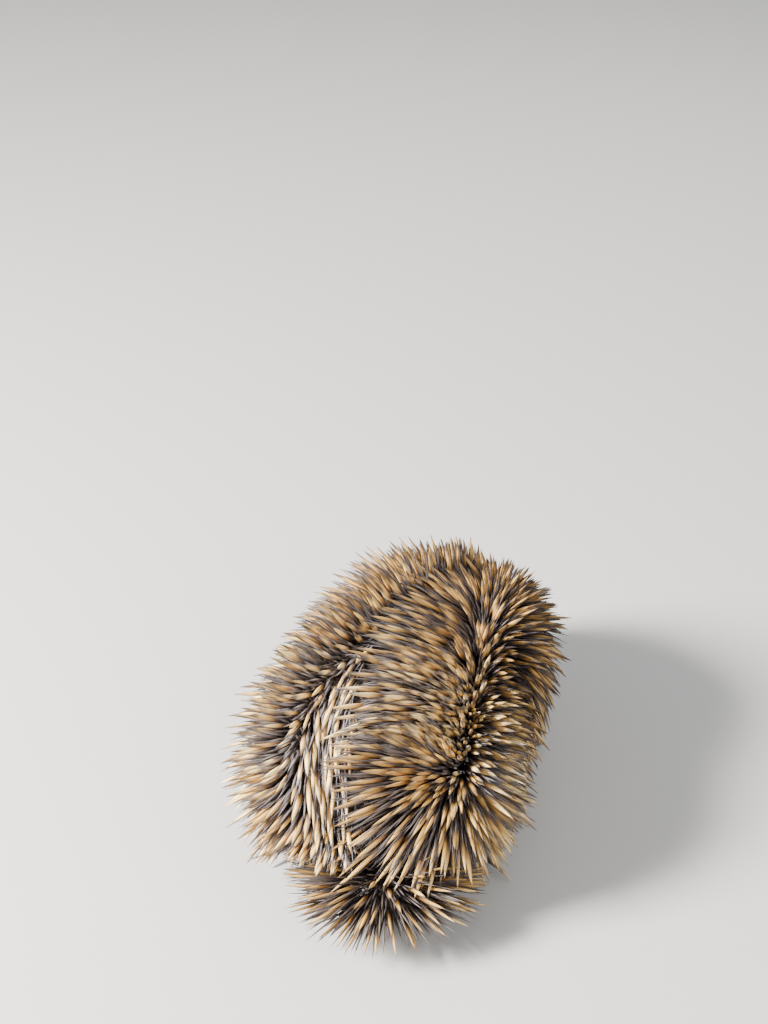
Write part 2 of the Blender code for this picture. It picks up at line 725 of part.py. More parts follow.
def grow_all(torso, neck, head, tail, ears, low_parts):
    """Each spiny part gets its roots, and its spines keep clear of all its neighbours."""
    draw = random.Random(SEED)

    def trunk_length(s, angle):
        front = mix(1.0, 0.55, ease(0.115, 0.19, s))
        low = mix(1.0, 0.72, ease(88, TORSO_DOWN_TO, abs(angle)))
        low *= mix(1.0, 0.55, ease(78, 112, -angle) * ease(0.0, 0.06, -s))
        over_tail = mix(1.0, 0.55, ease(0.100, 0.126, -s) * ease(0, 12, seam(s) - angle))
        return SPINE_LENGTH * front * low * over_tail * draw.uniform(*LENGTH_VARIES)

    def tail_length(s, angle):
        return TAIL_SPINE_LENGTH * draw.uniform(*LENGTH_VARIES)

    def head_length(s, angle):
        return HEAD_SPINE_LENGTH * draw.uniform(*LENGTH_VARIES)

    grown = []
    first, last = TAIL_END + 0.001, TAIL_CENTRE + 0.012
    roots = rows_of_roots(tail_point, first, last, TAIL_SPACING, TAIL_DOWN_TO, draw)
    grow(tail, roots, tail_lie, tail_length, [torso] + low_parts, grown)
    first, last = REAR + 0.001, NECK_ROOT - 0.004
    roots = rows_of_roots(body_point, first, last, TORSO_SPACING, TORSO_DOWN_TO, draw)
    roots = [root for root in roots if not in_the_gap(*root)]
    grow(torso, roots, body_lie, trunk_length, [tail, neck] + low_parts, grown)
    first, last = NECK_ROOT + 0.004, HEAD_ROOT - 0.003
    roots = rows_of_roots(body_point, first, last, NECK_SPACING, NECK_DOWN_TO, draw)
    grow(neck, roots, body_lie, trunk_length, [head] + ears + low_parts, grown)
    first, last = HEAD_ROOT + 0.004, EYE_PLACE - 0.006
    roots = rows_of_roots(body_point, first, last, HEAD_SPACING, HEAD_DOWN_TO, draw)
    grow(head, roots, body_lie, head_length, [neck] + ears, grown, HEAD_SPINE_RADIUS)


def stand_on_origin():
    """Hangs all parts on one empty, so that the origin is under the middle of the box."""
    corners = np.array([list(v.co) for obj in parts.objects for v in obj.data.vertices])
    middle = 0.5 * (corners.min(axis=0) + corners.max(axis=0))
    holder = bpy.data.objects.new("echidna_origin", None)
    bpy.context.scene.collection.objects.link(holder)
    holder.location = (-middle[0], -middle[1], -corners[:, 2].min())
    for obj in parts.objects:
        obj.parent = holder
    print("moved by", [round(x, 5) for x in holder.location])


def main():
    torso, neck, head, beak = make_torso(), make_neck(), make_head(), make_beak()
    ears = make_ears(head, neck)
    tail = make_tail(torso)
    feet, legs = [], []
    for label, side in SIDES:
        for kind, plan in (("fore", FORE_FOOT), ("hind", HIND_FOOT)):
            foot = make_foot(kind, plan, label, side)
            feet.append(foot)
            legs.append(make_leg(kind, plan, label, side, [torso, neck], foot))
    claws = [obj for obj in parts.objects if "_claw_" in obj.name]
    grow_all(torso, neck, head, tail, ears, feet + legs + claws)
    for obj in (torso, neck, tail, head, beak):
        finish(obj, obj.name)
    for ear in ears:
        finish(ear, "ear")
    stand_on_origin()


for old in list(bpy.data.objects):
    bpy.data.objects.remove(old, do_unlink=True)
parts = bpy.data.collections.new("echidna")
cutters = bpy.data.collections.new("cutters")
cutters.hide_render = True
bpy.context.scene.collection.children.link(parts)
bpy.context.scene.collection.children.link(cutters)
main()
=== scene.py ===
# %% [markdown]
# A short-beaked echidna at life size, hunkered down, seen from above and behind its right side.
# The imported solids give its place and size. Each step below adds one finish of the real animal:
# first the skin, then eyes and claws, then the spines and the fur between them.

import math

import bmesh
import bpy
import numpy as np
from mathutils import Matrix, Vector


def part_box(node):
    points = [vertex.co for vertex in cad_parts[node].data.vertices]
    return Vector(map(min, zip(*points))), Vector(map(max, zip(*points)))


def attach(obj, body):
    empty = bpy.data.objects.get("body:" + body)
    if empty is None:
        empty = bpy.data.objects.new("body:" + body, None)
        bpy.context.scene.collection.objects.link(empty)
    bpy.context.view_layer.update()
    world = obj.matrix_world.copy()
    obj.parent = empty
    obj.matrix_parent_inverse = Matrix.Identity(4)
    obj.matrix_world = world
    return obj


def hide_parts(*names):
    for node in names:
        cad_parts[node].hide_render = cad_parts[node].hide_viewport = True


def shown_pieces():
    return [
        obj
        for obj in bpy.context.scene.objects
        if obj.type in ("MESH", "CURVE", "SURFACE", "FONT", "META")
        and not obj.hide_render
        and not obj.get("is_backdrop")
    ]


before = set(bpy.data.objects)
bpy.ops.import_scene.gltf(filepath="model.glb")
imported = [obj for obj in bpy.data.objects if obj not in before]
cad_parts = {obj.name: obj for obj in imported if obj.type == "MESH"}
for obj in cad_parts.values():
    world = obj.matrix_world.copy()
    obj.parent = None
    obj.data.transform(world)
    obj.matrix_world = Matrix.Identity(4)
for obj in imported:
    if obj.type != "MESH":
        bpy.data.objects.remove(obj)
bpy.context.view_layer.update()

# %% [markdown]
# The body is one oval section carried along a bent line, so a place on it is two numbers: how far
# along the line, and the angle from the top of the back down the right side. Every hair and spine
# is rooted by such a pair. The sizes are those of the solids, in metres and degrees.

# %% The line of the body
REAR, HIP, NECK_ROOT, HEAD_ROOT, BEAK_ROOT, BEAK_TIP = -0.136, -0.015, 0.135, 0.190, 0.2475, 0.303
AXIS_HEIGHT, BEND_RADIUS, HEAD_TURNED_BACK = 0.074, 0.320, 58.0
HEAD_PITCH, BEAK_PITCH = 34.0, 20.0
LINE_STEP = 0.001


def ease(start, end, value):
    """0 before start and 1 after end, with a smooth run between them."""
    t = np.clip((value - start) / (end - start), 0.0, 1.0)
    return t * t * (3 - 2 * t)


def ridge(value, width):
    """1 where the value is 0, and less on both sides of it over a width."""
    return np.exp(-((value / width) ** 2))


def mix(a, b, share):
    return a + (b - a) * share


def unit(vectors):
    return vectors / np.maximum(np.linalg.norm(vectors, axis=-1, keepdims=True), 1e-12)


def facing(s):
    return s / BEND_RADIUS - math.radians(HEAD_TURNED_BACK) * ease(0.085, 0.24, s)


def pitch(s):
    down = HEAD_PITCH * ease(0.12, 0.21, s)
    return np.radians(down - (HEAD_PITCH - BEAK_PITCH) * ease(0.235, 0.28, s))


def line_axes(s):
    """Forward, right and up on the body's line."""
    s = np.asarray(s, float)
    turn, nod = facing(s), pitch(s)
    flat = np.cos(nod)
    forward = np.stack([np.sin(turn) * flat, np.cos(turn) * flat, -np.sin(nod)], -1)
    right = np.stack([np.cos(turn), -np.sin(turn), np.zeros_like(turn)], -1)
    return forward, right, np.cross(right, forward)


STATIONS = np.arange(REAR - 0.03, BEAK_TIP + 0.01, LINE_STEP)
WALKED = np.cumsum(line_axes(STATIONS + LINE_STEP / 2)[0] * LINE_STEP, axis=0)
WALKED += np.array([0.0, 0.0, AXIS_HEIGHT]) - WALKED[np.argmin(abs(STATIONS))]


def line_point(s):
    return np.stack([np.interp(s, STATIONS, WALKED[:, k]) for k in range(3)], -1)


print("the body's line is", round((BEAK_TIP - REAR) * 1000), "mm long")

# %% [markdown]
# An echidna is widest at the hips and narrows through the neck into a small head with a thin tube
# for a snout. So its section is an oval with its own half width, reach up and reach down, mixed
# from those of hips, head, beak and tip. A power curve closes the rump, as it ends in a blunt dome.

# %% The oval sections of the flesh
HIP_SECTION, HEAD_SECTION = (0.092, 0.082, 0.060), (0.034, 0.038, 0.030)
BEAK_SECTION, TIP_SECTION = (0.0125, 0.0125, 0.0115), (0.0058, 0.0050, 0.0055)
RUMP_WIDTH_POWER, RUMP_HEIGHT_POWER = 2.7, 2.05


def section(s):
    """Half width, reach up and reach down of the flesh."""
    s = np.asarray(s, float)
    taper = np.clip((s - BEAK_ROOT) / (BEAK_TIP - BEAK_ROOT), 0.0, 1.0)
    behind = np.clip((HIP - s) / (HIP - REAR), 0.0, 1.0)
    powers = (RUMP_WIDTH_POWER, RUMP_HEIGHT_POWER, RUMP_HEIGHT_POWER)
    sizes = []
    for hip, head, beak, tip, power in zip(HIP_SECTION, HEAD_SECTION, BEAK_SECTION, TIP_SECTION, powers):
        size = mix(hip, head, ease(0.08, 0.215, s))
        size = mix(size, beak, ease(0.200, 0.252, s))
        sizes.append(mix(size, tip, taper) * (1 - behind**power) ** (1 / power))
    return sizes


def girth(s):
    """Metres along the edge of a section for each radian of its upper half."""
    half, up, _ = section(s)
    return 0.5 * (half + up)


def body_point(s, angle):
    s, angle = np.broadcast_arrays(np.asarray(s, float), np.asarray(angle, float))
    half, up, down = section(s)
    _, right, above = line_axes(s)
    a = np.radians(angle)
    height = np.where(np.cos(a) > 0, up, down)
    across = right * (half * np.sin(a))[..., None]
    return line_point(s) + across + above * (height * np.cos(a))[..., None]


def surface_axes(point, s, angle, first=REAR, last=BEAK_TIP):
    """Place, outward normal, backward and rightward directions on a surface."""
    small = 0.0002
    s, angle = np.broadcast_arrays(np.asarray(s, float), np.asarray(angle, float))
    near = np.clip(s, first + 2 * small, last - 2 * small)
    along = point(near + small, angle) - point(near - small, angle)
    around = point(near, angle + 0.1) - point(near, angle - 0.1)
    normal = unit(np.cross(along, around))
    place = point(s, angle)
    outward = point(near, angle) - point(near, angle + 180)
    turned = (normal * outward).sum(-1, keepdims=True) < 0
    return place, np.where(turned, -normal, normal), -unit(along), unit(around)


print("half width, reach up and reach down at the hips:", np.round(section(HIP), 3), "metres")

# %% [markdown]
# The solids stand with their origin under the middle of their box. The left eye is in both, so
# the difference between its place there and its place on this line moves the line onto the solids.

# %% Set the line on the solids
EYE_PLACE, EYE_ANGLE, EYE_SUNK = 0.2275, 66.0, 0.0017


def eye_axes(side):
    """Centre of an eyeball, the way it looks out, and the head's forward there."""
    place, normal, _, _ = surface_axes(body_point, EYE_PLACE, side * EYE_ANGLE)
    return place - normal * EYE_SUNK, normal, line_axes(EYE_PLACE)[0]


eye_box = np.array([list(corner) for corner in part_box("eye_left")])
shift = eye_box.mean(axis=0) - eye_axes(-1)[0]
WALKED += shift
print("the line moves by", np.round(shift, 5), "metres")

# %% [markdown]
# Meshes are made in two ways: from lists of points and faces, or from an edit mesh. A loft through
# rings gives closed forms with their faces outwards, which a Boolean union can then join without a
# seam, as the skin of a real animal has none where a leg or an ear begins.

# %% Helpers for meshes
def new_object(name, mesh):
    obj = bpy.data.objects.new(name, mesh)
    bpy.context.scene.collection.objects.link(obj)
    return obj


def mesh_from(name, points, faces):
    mesh = bpy.data.meshes.new(name)
    mesh.from_pydata([tuple(p) for p in points], [], faces)
    mesh.update()
    return mesh


def mesh_of(bm, name):
    """The mesh that an edit mesh holds, which is then freed."""
    mesh = bpy.data.meshes.new(name)
    bm.to_mesh(mesh)
    bm.free()
    return mesh


def loft(name, rings, cap_points=(None, None)):
    """A closed surface through rings: each end gets a flat face or a given point."""
    count, sides = len(rings), len(rings[0])
    points = [p for ring in rings for p in ring]
    faces = []
    for i in range(count - 1):
        for k in range(sides):
            a, b = i * sides + k, i * sides + (k + 1) % sides
            faces.append((a, b, b + sides, a + sides))
    for first, cap in ((0, cap_points[0]), ((count - 1) * sides, cap_points[1])):
        ring = [first + k for k in range(sides)]
        if cap is None:
            faces.append(ring)
            continue
        points.append(cap)
        faces += [(ring[k], ring[(k + 1) % sides], len(points) - 1) for k in range(sides)]
    mesh = mesh_from(name, points, faces)
    face_outwards(mesh)
    return mesh


def face_outwards(mesh):
    bm = bmesh.new()
    bm.from_mesh(mesh)
    bmesh.ops.recalc_face_normals(bm, faces=bm.faces)
    bm.to_mesh(mesh)
    bm.free()


def circle(centre, radius, across, over, sides):
    turns = np.arange(sides) * 2 * np.pi / sides
    return centre + radius * (np.outer(np.cos(turns), across) + np.outer(np.sin(turns), over))


def evaluated(obj):
    """The mesh that an object's modifiers make, with the modifiers then taken off."""
    graph = bpy.context.evaluated_depsgraph_get()
    mesh = bpy.data.meshes.new_from_object(obj.evaluated_get(graph))
    obj.modifiers.clear()
    obj.data = mesh
    return obj


def join_closed(obj, others):
    """Boolean union with several closed meshes, which are then removed."""
    group = bpy.data.collections.new("operands")
    for other in others:
        group.objects.link(other)
    modifier = obj.modifiers.new("join", "BOOLEAN")
    modifier.operation = "UNION"
    modifier.operand_type = "COLLECTION"
    modifier.collection = group
    modifier.solver = "MANIFOLD"
    evaluated(obj)
    for other in others:
        bpy.data.objects.remove(other)
    bpy.data.collections.remove(group)

# %% [markdown]
# Every material below is a small tree of nodes. One helper adds any node and links what goes into
# it. The others name what the materials share: a value stored on the mesh, a grain of a real size,
# a ramp of colours and a fine relief. Colours are written as sRGB, as a picture shows them.

# %% Helpers for colours and nodes
def linear(hex_colour):
    """An sRGB hex value as the linear colour that a shader works with."""
    levels = [int(hex_colour[i:i + 2], 16) / 255 for i in (1, 3, 5)]
    return [x / 12.92 if x <= 0.04045 else ((x + 0.055) / 1.055) ** 2.4 for x in levels] + [1.0]


def add_node(tree, kind, settings=None, inputs=None):
    """Adds a node with its settings. An input is a value, or a socket that is linked to it."""
    node = tree.nodes.new(kind)
    for name, value in (settings or {}).items():
        setattr(node, name, value)
    for name, value in (inputs or {}).items():
        if isinstance(value, bpy.types.NodeSocket):
            tree.links.new(value, node.inputs[name])
        else:
            node.inputs[name].default_value = value
    return node


def new_material(name, roughness):
    material = bpy.data.materials.new(name)
    material.use_nodes = True
    shader = material.node_tree.nodes["Principled BSDF"]
    shader.inputs["Roughness"].default_value = roughness
    return material, material.node_tree, shader


def colour_ramp(tree, factor, stops):
    ramp = add_node(tree, "ShaderNodeValToRGB", inputs={"Fac": factor})
    elements = ramp.color_ramp.elements
    while len(elements) < len(stops):
        elements.new(0.5)
    for element, (place, hex_colour) in zip(elements, stops):
        element.position = place
        element.color = linear(hex_colour)
    return ramp.outputs["Color"]


def maths(tree, operation, *values):
    """The result of a Math node on values or sockets."""
    return add_node(tree, "ShaderNodeMath", {"operation": operation}, dict(enumerate(values))).outputs[0]


def stored_value(tree, name):
    return add_node(tree, "ShaderNodeAttribute", {"attribute_name": name}).outputs["Fac"]


def object_place(tree):
    return add_node(tree, "ShaderNodeTexCoord").outputs["Object"]


def grain_of(tree, vector, size, detail=2.0):
    """Noise with grains of a size, in the unit of its vector."""
    inputs = {"Vector": vector, "Scale": 1 / size, "Detail": detail}
    return add_node(tree, "ShaderNodeTexNoise", inputs=inputs).outputs["Fac"]


def blended(tree, share, first, second, kind="MIX"):
    settings = {"data_type": "RGBA", "blend_type": kind}
    return add_node(tree, "ShaderNodeMix", settings, {"Factor": share, 6: first, 7: second}).outputs[2]


def finish_shader(tree, shader, colour, height, strength, depth):
    """Links the colour, and a relief of a depth in metres."""
    relief = {"Strength": strength, "Distance": depth, "Height": height}
    bump = add_node(tree, "ShaderNodeBump", inputs=relief)
    tree.links.new(colour, shader.inputs["Base Color"])
    tree.links.new(bump.outputs["Normal"], shader.inputs["Normal"])


print("an sRGB mid grey is", round(linear("#808080")[0], 3), "in the light's own scale")

# %% [markdown]
# The skin is one closed mesh. Its body is a sheet of places and angles rolled up over the sections.
# The sheet is divided again round the eyes, nostrils and mouth, where folds are under a millimetre.
# Under the short fur of the head it lies a little inside the solids, so that the fur ends at them.

# %% Lids, nostrils and mouth as relief on the sheet
FACE_FUR_DEPTH = 0.0016
BALL_RADIUS, EYE_HOLE = 0.0036, 0.0011
LID_HALF_LENGTH, LID_HALF_HEIGHT, LID_THICKNESS = 0.0029, 0.0025, 0.00035
LID_EDGE, LID_EDGE_WIDTH, LID_EDGE_SWELL, LID_BLEND = 1.16, 0.12, 0.00025, 2.5
FOLD_HEIGHT, FOLD_SPACING = 0.00022, 0.46
NOSTRIL_BACK, NOSTRIL_ANGLE, NOSTRIL_LENGTH, NOSTRIL_WIDTH = 0.0065, 34.0, 0.0018, 0.0007
NOSTRIL_DEPTH, NOSTRIL_RIM = 0.0011, 0.00022
MOUTH_LENGTH, MOUTH_ANGLE, MOUTH_DEPTH, MOUTH_WIDTH = 0.014, 118.0, 0.0007, 0.00035
LIP_HEIGHT, LIP_AWAY, LIP_WIDTH = 0.00025, 0.0008, 0.0005
BLUNT = 0.0035


def fur_inset(s):
    return FACE_FUR_DEPTH * ease(0.170, 0.200, s) * (1 - ease(0.240, 0.262, s))


def around_eye(points, side):
    """Distance from the eye as a share of the opening's edge, and the height over its centre."""
    centre, out, forward = eye_axes(side)
    across = unit(np.cross(out, forward))
    ahead = np.cross(across, out)
    away = points - centre
    x, y, z = away @ ahead, away @ across, away @ out
    share = np.hypot(x / LID_HALF_LENGTH, y / LID_HALF_HEIGHT)
    return share, np.hypot(x, y), z, out


def skin_point(s, angle):
    """The flesh with its inset under the fur, and the folds of eyes, nostrils and mouth."""
    place, normal, _, _ = surface_axes(body_point, s, angle)
    tip = np.clip((s - (BEAK_TIP - BLUNT)) / BLUNT, 0.0, 1.0)
    round_off = np.sqrt(np.maximum(1 - tip**2, 0.0))[..., None]
    middle = line_point(s)
    place = np.where(round_off < 1, middle + (place - middle) * round_off, place)
    per_degree = np.radians(1) * girth(s)
    height = -fur_inset(s)
    sideways = (abs(angle) - NOSTRIL_ANGLE) * per_degree
    back = (s - (BEAK_TIP - NOSTRIL_BACK)) / NOSTRIL_LENGTH
    ring = np.hypot(back, sideways / NOSTRIL_WIDTH)
    height = height - NOSTRIL_DEPTH * (1 - ease(0.55, 1.15, ring)) + NOSTRIL_RIM * ridge(ring - 1.5, 0.4)
    lip = (abs(angle) - MOUTH_ANGLE) * per_degree
    fade = ease(BEAK_TIP - MOUTH_LENGTH, BEAK_TIP - MOUTH_LENGTH + 0.004, s)
    height = height - MOUTH_DEPTH * fade * ridge(lip, MOUTH_WIDTH)
    height = height + LIP_HEIGHT * fade * ridge(abs(lip) - LIP_AWAY, LIP_WIDTH)
    place = place + normal * height[..., None] * round_off
    for side in (-1, 1):
        share, radius, over, out = around_eye(place, side)
        ball = np.sqrt(np.maximum(BALL_RADIUS**2 - radius**2, 0.0))
        rim = LID_THICKNESS + LID_EDGE_SWELL * ridge(share - LID_EDGE, LID_EDGE_WIDTH)
        wave = np.cos((share - LID_EDGE) * 2 * np.pi / FOLD_SPACING)
        folds = FOLD_HEIGHT * wave * ease(1.1, 1.3, share) * ease(LID_BLEND, 1.7, share)
        lid = np.where(share < 1, ball - EYE_HOLE, ball + rim)
        goal = mix(np.maximum(lid, over), over, ease(1.12, LID_BLEND, share)) + folds
        near = (share < LID_BLEND) & (over > -0.004)
        place = place + out * np.where(near, goal - over, 0.0)[..., None]
    return place


print("the lids' opening is", round(LID_HALF_LENGTH * 2000, 1), "mm long")

# %% [markdown]
# The sheet's rows stand closer where the form is small, along the beak and at its tip. Two rounds
# of dividing near the eyes, and one near the mouth, give the folds enough points to show as shape.

# %% Roll up the body's sheet
SHEET_AROUND = 144
BEAK_END, FINE_BEAK_END, FINE_EYE = 0.017, 0.016, (0.0125, 0.0095)


def sheet_places():
    swing = np.linspace(0, np.pi / 2, 35)
    rump = HIP - (HIP - REAR) * np.cos(swing)
    runs = [(HIP, NECK_ROOT, 40), (NECK_ROOT, HEAD_ROOT, 22), (HEAD_ROOT, BEAK_ROOT, 48)]
    rest = [np.linspace(a, b, n + 1)[1:] for a, b, n in runs]
    beak = np.linspace(BEAK_ROOT, BEAK_TIP - BEAK_END, 44)[1:]
    beak = np.concatenate([beak, np.linspace(BEAK_TIP - BEAK_END, BEAK_TIP - BLUNT, 28)[1:]])
    end = BEAK_TIP - BLUNT + BLUNT * np.sin(np.linspace(0, np.pi / 2, 9))[1:]
    return np.concatenate([rump, *rest, beak, end])


def fine_faces(bm, level):
    """The faces near the eyes, the nostrils and the mouth, where the folds are small."""
    middles = np.array([face.calc_center_median()[:2] for face in bm.faces])
    angle, s = middles[:, 0], middles[:, 1]
    place = body_point(s, angle)
    wanted = (s > BEAK_TIP - FINE_BEAK_END) & (abs(angle) > 10) & (level == 1)
    for side in (-1, 1):
        centre = eye_axes(side)[0]
        wanted |= np.linalg.norm(place - centre, axis=-1) < FINE_EYE[level - 1]
    bm.faces.ensure_lookup_table()
    return [bm.faces[i] for i in np.nonzero(wanted)[0]]


def make_body_skin():
    places = sheet_places()
    angles = np.linspace(-180, 180, SHEET_AROUND + 1)
    grid = [(angle, s, 0.0) for s in places for angle in angles]
    wide = len(angles)
    faces = [(i * wide + k, i * wide + k + 1, (i + 1) * wide + k + 1, (i + 1) * wide + k)
             for i in range(len(places) - 1) for k in range(wide - 1)]
    bm = bmesh.new()
    bm.from_mesh(mesh_from("sheet", grid, faces))
    for level in (1, 2):
        edges = {edge for face in fine_faces(bm, level) for edge in face.edges}
        bmesh.ops.subdivide_edges(bm, edges=list(edges), cuts=1, use_grid_fill=True)
    many = [face for face in bm.faces if len(face.verts) > 4]
    bmesh.ops.triangulate(bm, faces=many)
    flat = np.array([vert.co[:] for vert in bm.verts])
    rolled = skin_point(flat[:, 1], flat[:, 0])
    for vert, place in zip(bm.verts, rolled):
        vert.co = place
    bmesh.ops.remove_doubles(bm, verts=bm.verts, dist=2e-6)
    bmesh.ops.recalc_face_normals(bm, faces=bm.faces)
    return new_object("skin", mesh_of(bm, "skin"))


skin = make_body_skin()
print("body sheet:", len(skin.data.vertices), "vertices")

# %% [markdown]
# The real tail is a short, blunt stub that only the fan of spines makes look long. It is a closed
# form of its own that joins the body's sheet later, and it keeps low, just off the floor.

# %% The tail's stub
TAIL_START, TAIL_END, TAIL_CENTRE = -0.072, -0.158, -0.120
TAIL_SECTION = (0.036, 0.024, 0.021)
TAIL_SIDE, TAIL_HEIGHT, TAIL_ROOT_RISE = 0.004, 0.025, 0.032


def tail_middle(s):
    middle = line_point(s) + line_axes(s)[1] * TAIL_SIDE
    middle[..., 2] = TAIL_HEIGHT + TAIL_ROOT_RISE * (1 - ease(-TAIL_START, -TAIL_CENTRE, -s))
    return middle


def tail_point(s, angle):
    s, angle = np.broadcast_arrays(np.asarray(s, float), np.asarray(angle, float))
    half, up, down = TAIL_SECTION
    t = np.clip((TAIL_CENTRE - s) / (TAIL_CENTRE - TAIL_END), 0.0, 1.0)
    narrow = np.sqrt(np.maximum(1 - t**2.2, 0.0))
    a = np.radians(angle)
    height = np.where(np.cos(a) > 0, up, down)
    lift = np.stack([np.zeros_like(a), np.zeros_like(a), height * np.cos(a) * narrow], -1)
    return tail_middle(s) + line_axes(s)[1] * (half * np.sin(a) * narrow)[..., None] + lift


def make_tail_skin():
    front = np.linspace(TAIL_START, TAIL_CENTRE, 14)
    swing = np.linspace(0, np.pi / 2, 20)[1:-1]
    places = np.concatenate([front, mix(TAIL_CENTRE, TAIL_END, np.sin(swing))])
    turns = np.arange(48) * 360 / 48
    rings = [tail_point(s, turns) for s in places]
    return new_object("tail", loft("tail", rings, (None, tail_point(TAIL_END, 0))))


print("the tail's stub is", round((TAIL_CENTRE - TAIL_END) * 1000), "mm long past its middle")

# %% [markdown]
# An echidna's ear is a tall slit behind the eye, with a low fold of skin round it, mostly under
# hair. An egg whose front outer side is pressed in gives both the fold and the deep slit.

# %% The ears' cups
EAR_PLACE, EAR_ANGLE, EAR_SIZE = 0.2045, 84.0, (0.0045, 0.0065, 0.0095)
EAR_SUNK, EAR_SLIT = 0.0006, (0.36, 0.74)


def ear_point(ways, side):
    """A place on the ear: an egg with a tall slit that is pressed deep into its front outer side."""
    place, normal, _, _ = surface_axes(body_point, EAR_PLACE, side * EAR_ANGLE)
    opening = unit(np.array([side * 0.72, 0.66, 0.05]))
    across = unit(np.cross([0.0, 0.0, 1.0], opening))
    up = np.cross(opening, across)
    inside = 1 - np.hypot(ways @ across / EAR_SLIT[0], (ways @ up + 0.05) / EAR_SLIT[1])
    inside = np.where(ways @ opening > 0, inside, -1.0)
    fold = 0.05 * np.cos((ways @ up) * 9) * ease(-0.6, -0.1, inside)
    size = 1 - 0.68 * ease(0.0, 0.5, inside) + 0.10 * ridge(inside + 0.12, 0.14) + fold
    local = ways * size[:, None] * np.array(EAR_SIZE)
    return place - normal * EAR_SUNK + local @ np.array(line_axes(EAR_PLACE))[[1, 0, 2]], inside


def make_ear_skin(side):
    bm = bmesh.new()
    bmesh.ops.create_uvsphere(bm, u_segments=56, v_segments=40, radius=1.0)
    places, _ = ear_point(unit(np.array([vert.co[:] for vert in bm.verts])), side)
    for vert, place in zip(bm.verts, places):
        vert.co = place
    bmesh.ops.recalc_face_normals(bm, faces=bm.faces)
    return new_object("ear", mesh_of(bm, "ear"))


print("an ear's fold is", round(EAR_SIZE[2] * 2000), "mm tall")

# %% [markdown]
# The legs are short posts, and the feet are broad pads with five toes each. Pad, toes and leg
# overlap as eggs and a bent tube. A voxel remesh melts them together and smoothing rounds the
# creases, as skin has no seam there. Then the tail, the ears and the legs all join the body.

# %% Legs and feet
FORE_FOOT = {
    "along": 0.104, "side": 0.069, "turn": -12.0, "pad": (0.0165, 0.0185, 0.0150),
    "claws": (0.013, 0.020, 0.023, 0.021, 0.014), "claw_radius": 0.0031,
}
HIND_FOOT = {
    "along": -0.052, "side": 0.065, "turn": 150.0, "pad": (0.0150, 0.0215, 0.0150),
    "claws": (0.010, 0.030, 0.022, 0.016, 0.011), "claw_radius": 0.0028,
}
TOE_SPREAD, TOE_SIZE = 23.0, (0.0048, 0.0070, 0.0068)
KNUCKLE_BACK, KNUCKLE_UP, KNUCKLE_SIZE = 0.0050, 0.0012, (0.0042, 0.0060, 0.0062)
LEG_TOP_SIDE, LEG_TOP_HEIGHT, LEG_LOW_HEIGHT = 0.056, 0.066, 0.0105
LEG_TOP_RADIUS, LEG_LOW_RADIUS, LEG_BOW = 0.027, 0.0130, 0.16
LEG_FUR_DEPTH = 0.0015
FOOT_VOXEL = 0.0011
SIDES = (("left", -1), ("right", 1))
FEET = [(kind, plan, label, side) for label, side in SIDES
        for kind, plan in (("fore", FORE_FOOT), ("hind", HIND_FOOT))]


def on_floor(along, side, height=0.0):
    place = line_point(along) + line_axes(along)[1] * side
    place[2] = height
    return place


def egg(bm, centre, size, turn=0.0):
    matrix = Matrix.Translation(centre) @ Matrix.Rotation(turn, 4, "Z") @ Matrix.Diagonal((*size, 1.0))
    bmesh.ops.create_uvsphere(bm, u_segments=28, v_segments=18, radius=1.0, matrix=matrix)


def toes_of(plan, side):
    """Root and direction of each toe, from the inner one outwards as the solids number them."""
    turn = float(-facing(plan["along"]) - side * math.radians(plan["turn"]))
    centre = on_floor(plan["along"], side * plan["side"], plan["pad"][2] * 0.45)
    toes = []
    for i in range(len(plan["claws"])):
        order = i if side > 0 else len(plan["claws"]) - 1 - i
        heading = turn + math.radians(90 + (2 - order) * TOE_SPREAD)
        out = np.array([math.cos(heading), math.sin(heading), 0.0])
        root = centre + out * plan["pad"][1] * (0.86 if abs(i - 2) < 2 else 0.74)
        root[2] = TOE_SIZE[2]
        toes.append((root, out, heading))
    return centre, turn, toes


def leg_line(plan, side, share):
    """The middle of the leg from the flank, at 0, down to the foot, at 1."""
    top = on_floor(plan["along"] * 0.9, side * LEG_TOP_SIDE, LEG_TOP_HEIGHT)
    low = on_floor(plan["along"], side * (plan["side"] - 0.003), LEG_LOW_HEIGHT)
    bend = 0.5 * (top + low) + (low - top) * np.array([LEG_BOW, LEG_BOW, 0.0])
    share = np.asarray(share, float)[..., None]
    return (1 - share) ** 2 * top + 2 * share * (1 - share) * bend + share**2 * low


print("feet of", *[round(plan["pad"][1] * 2000) for plan in (FORE_FOOT, HIND_FOOT)], "mm, fore and hind")

# %% [markdown]
# A foot of this animal is a fleshy pad from which short thick toes swell before each claw. Joining
# eggs by a Boolean would leave sharp creases between them. Remeshing with voxels of about one
# millimetre closes the creases to the soft folds of a real foot.

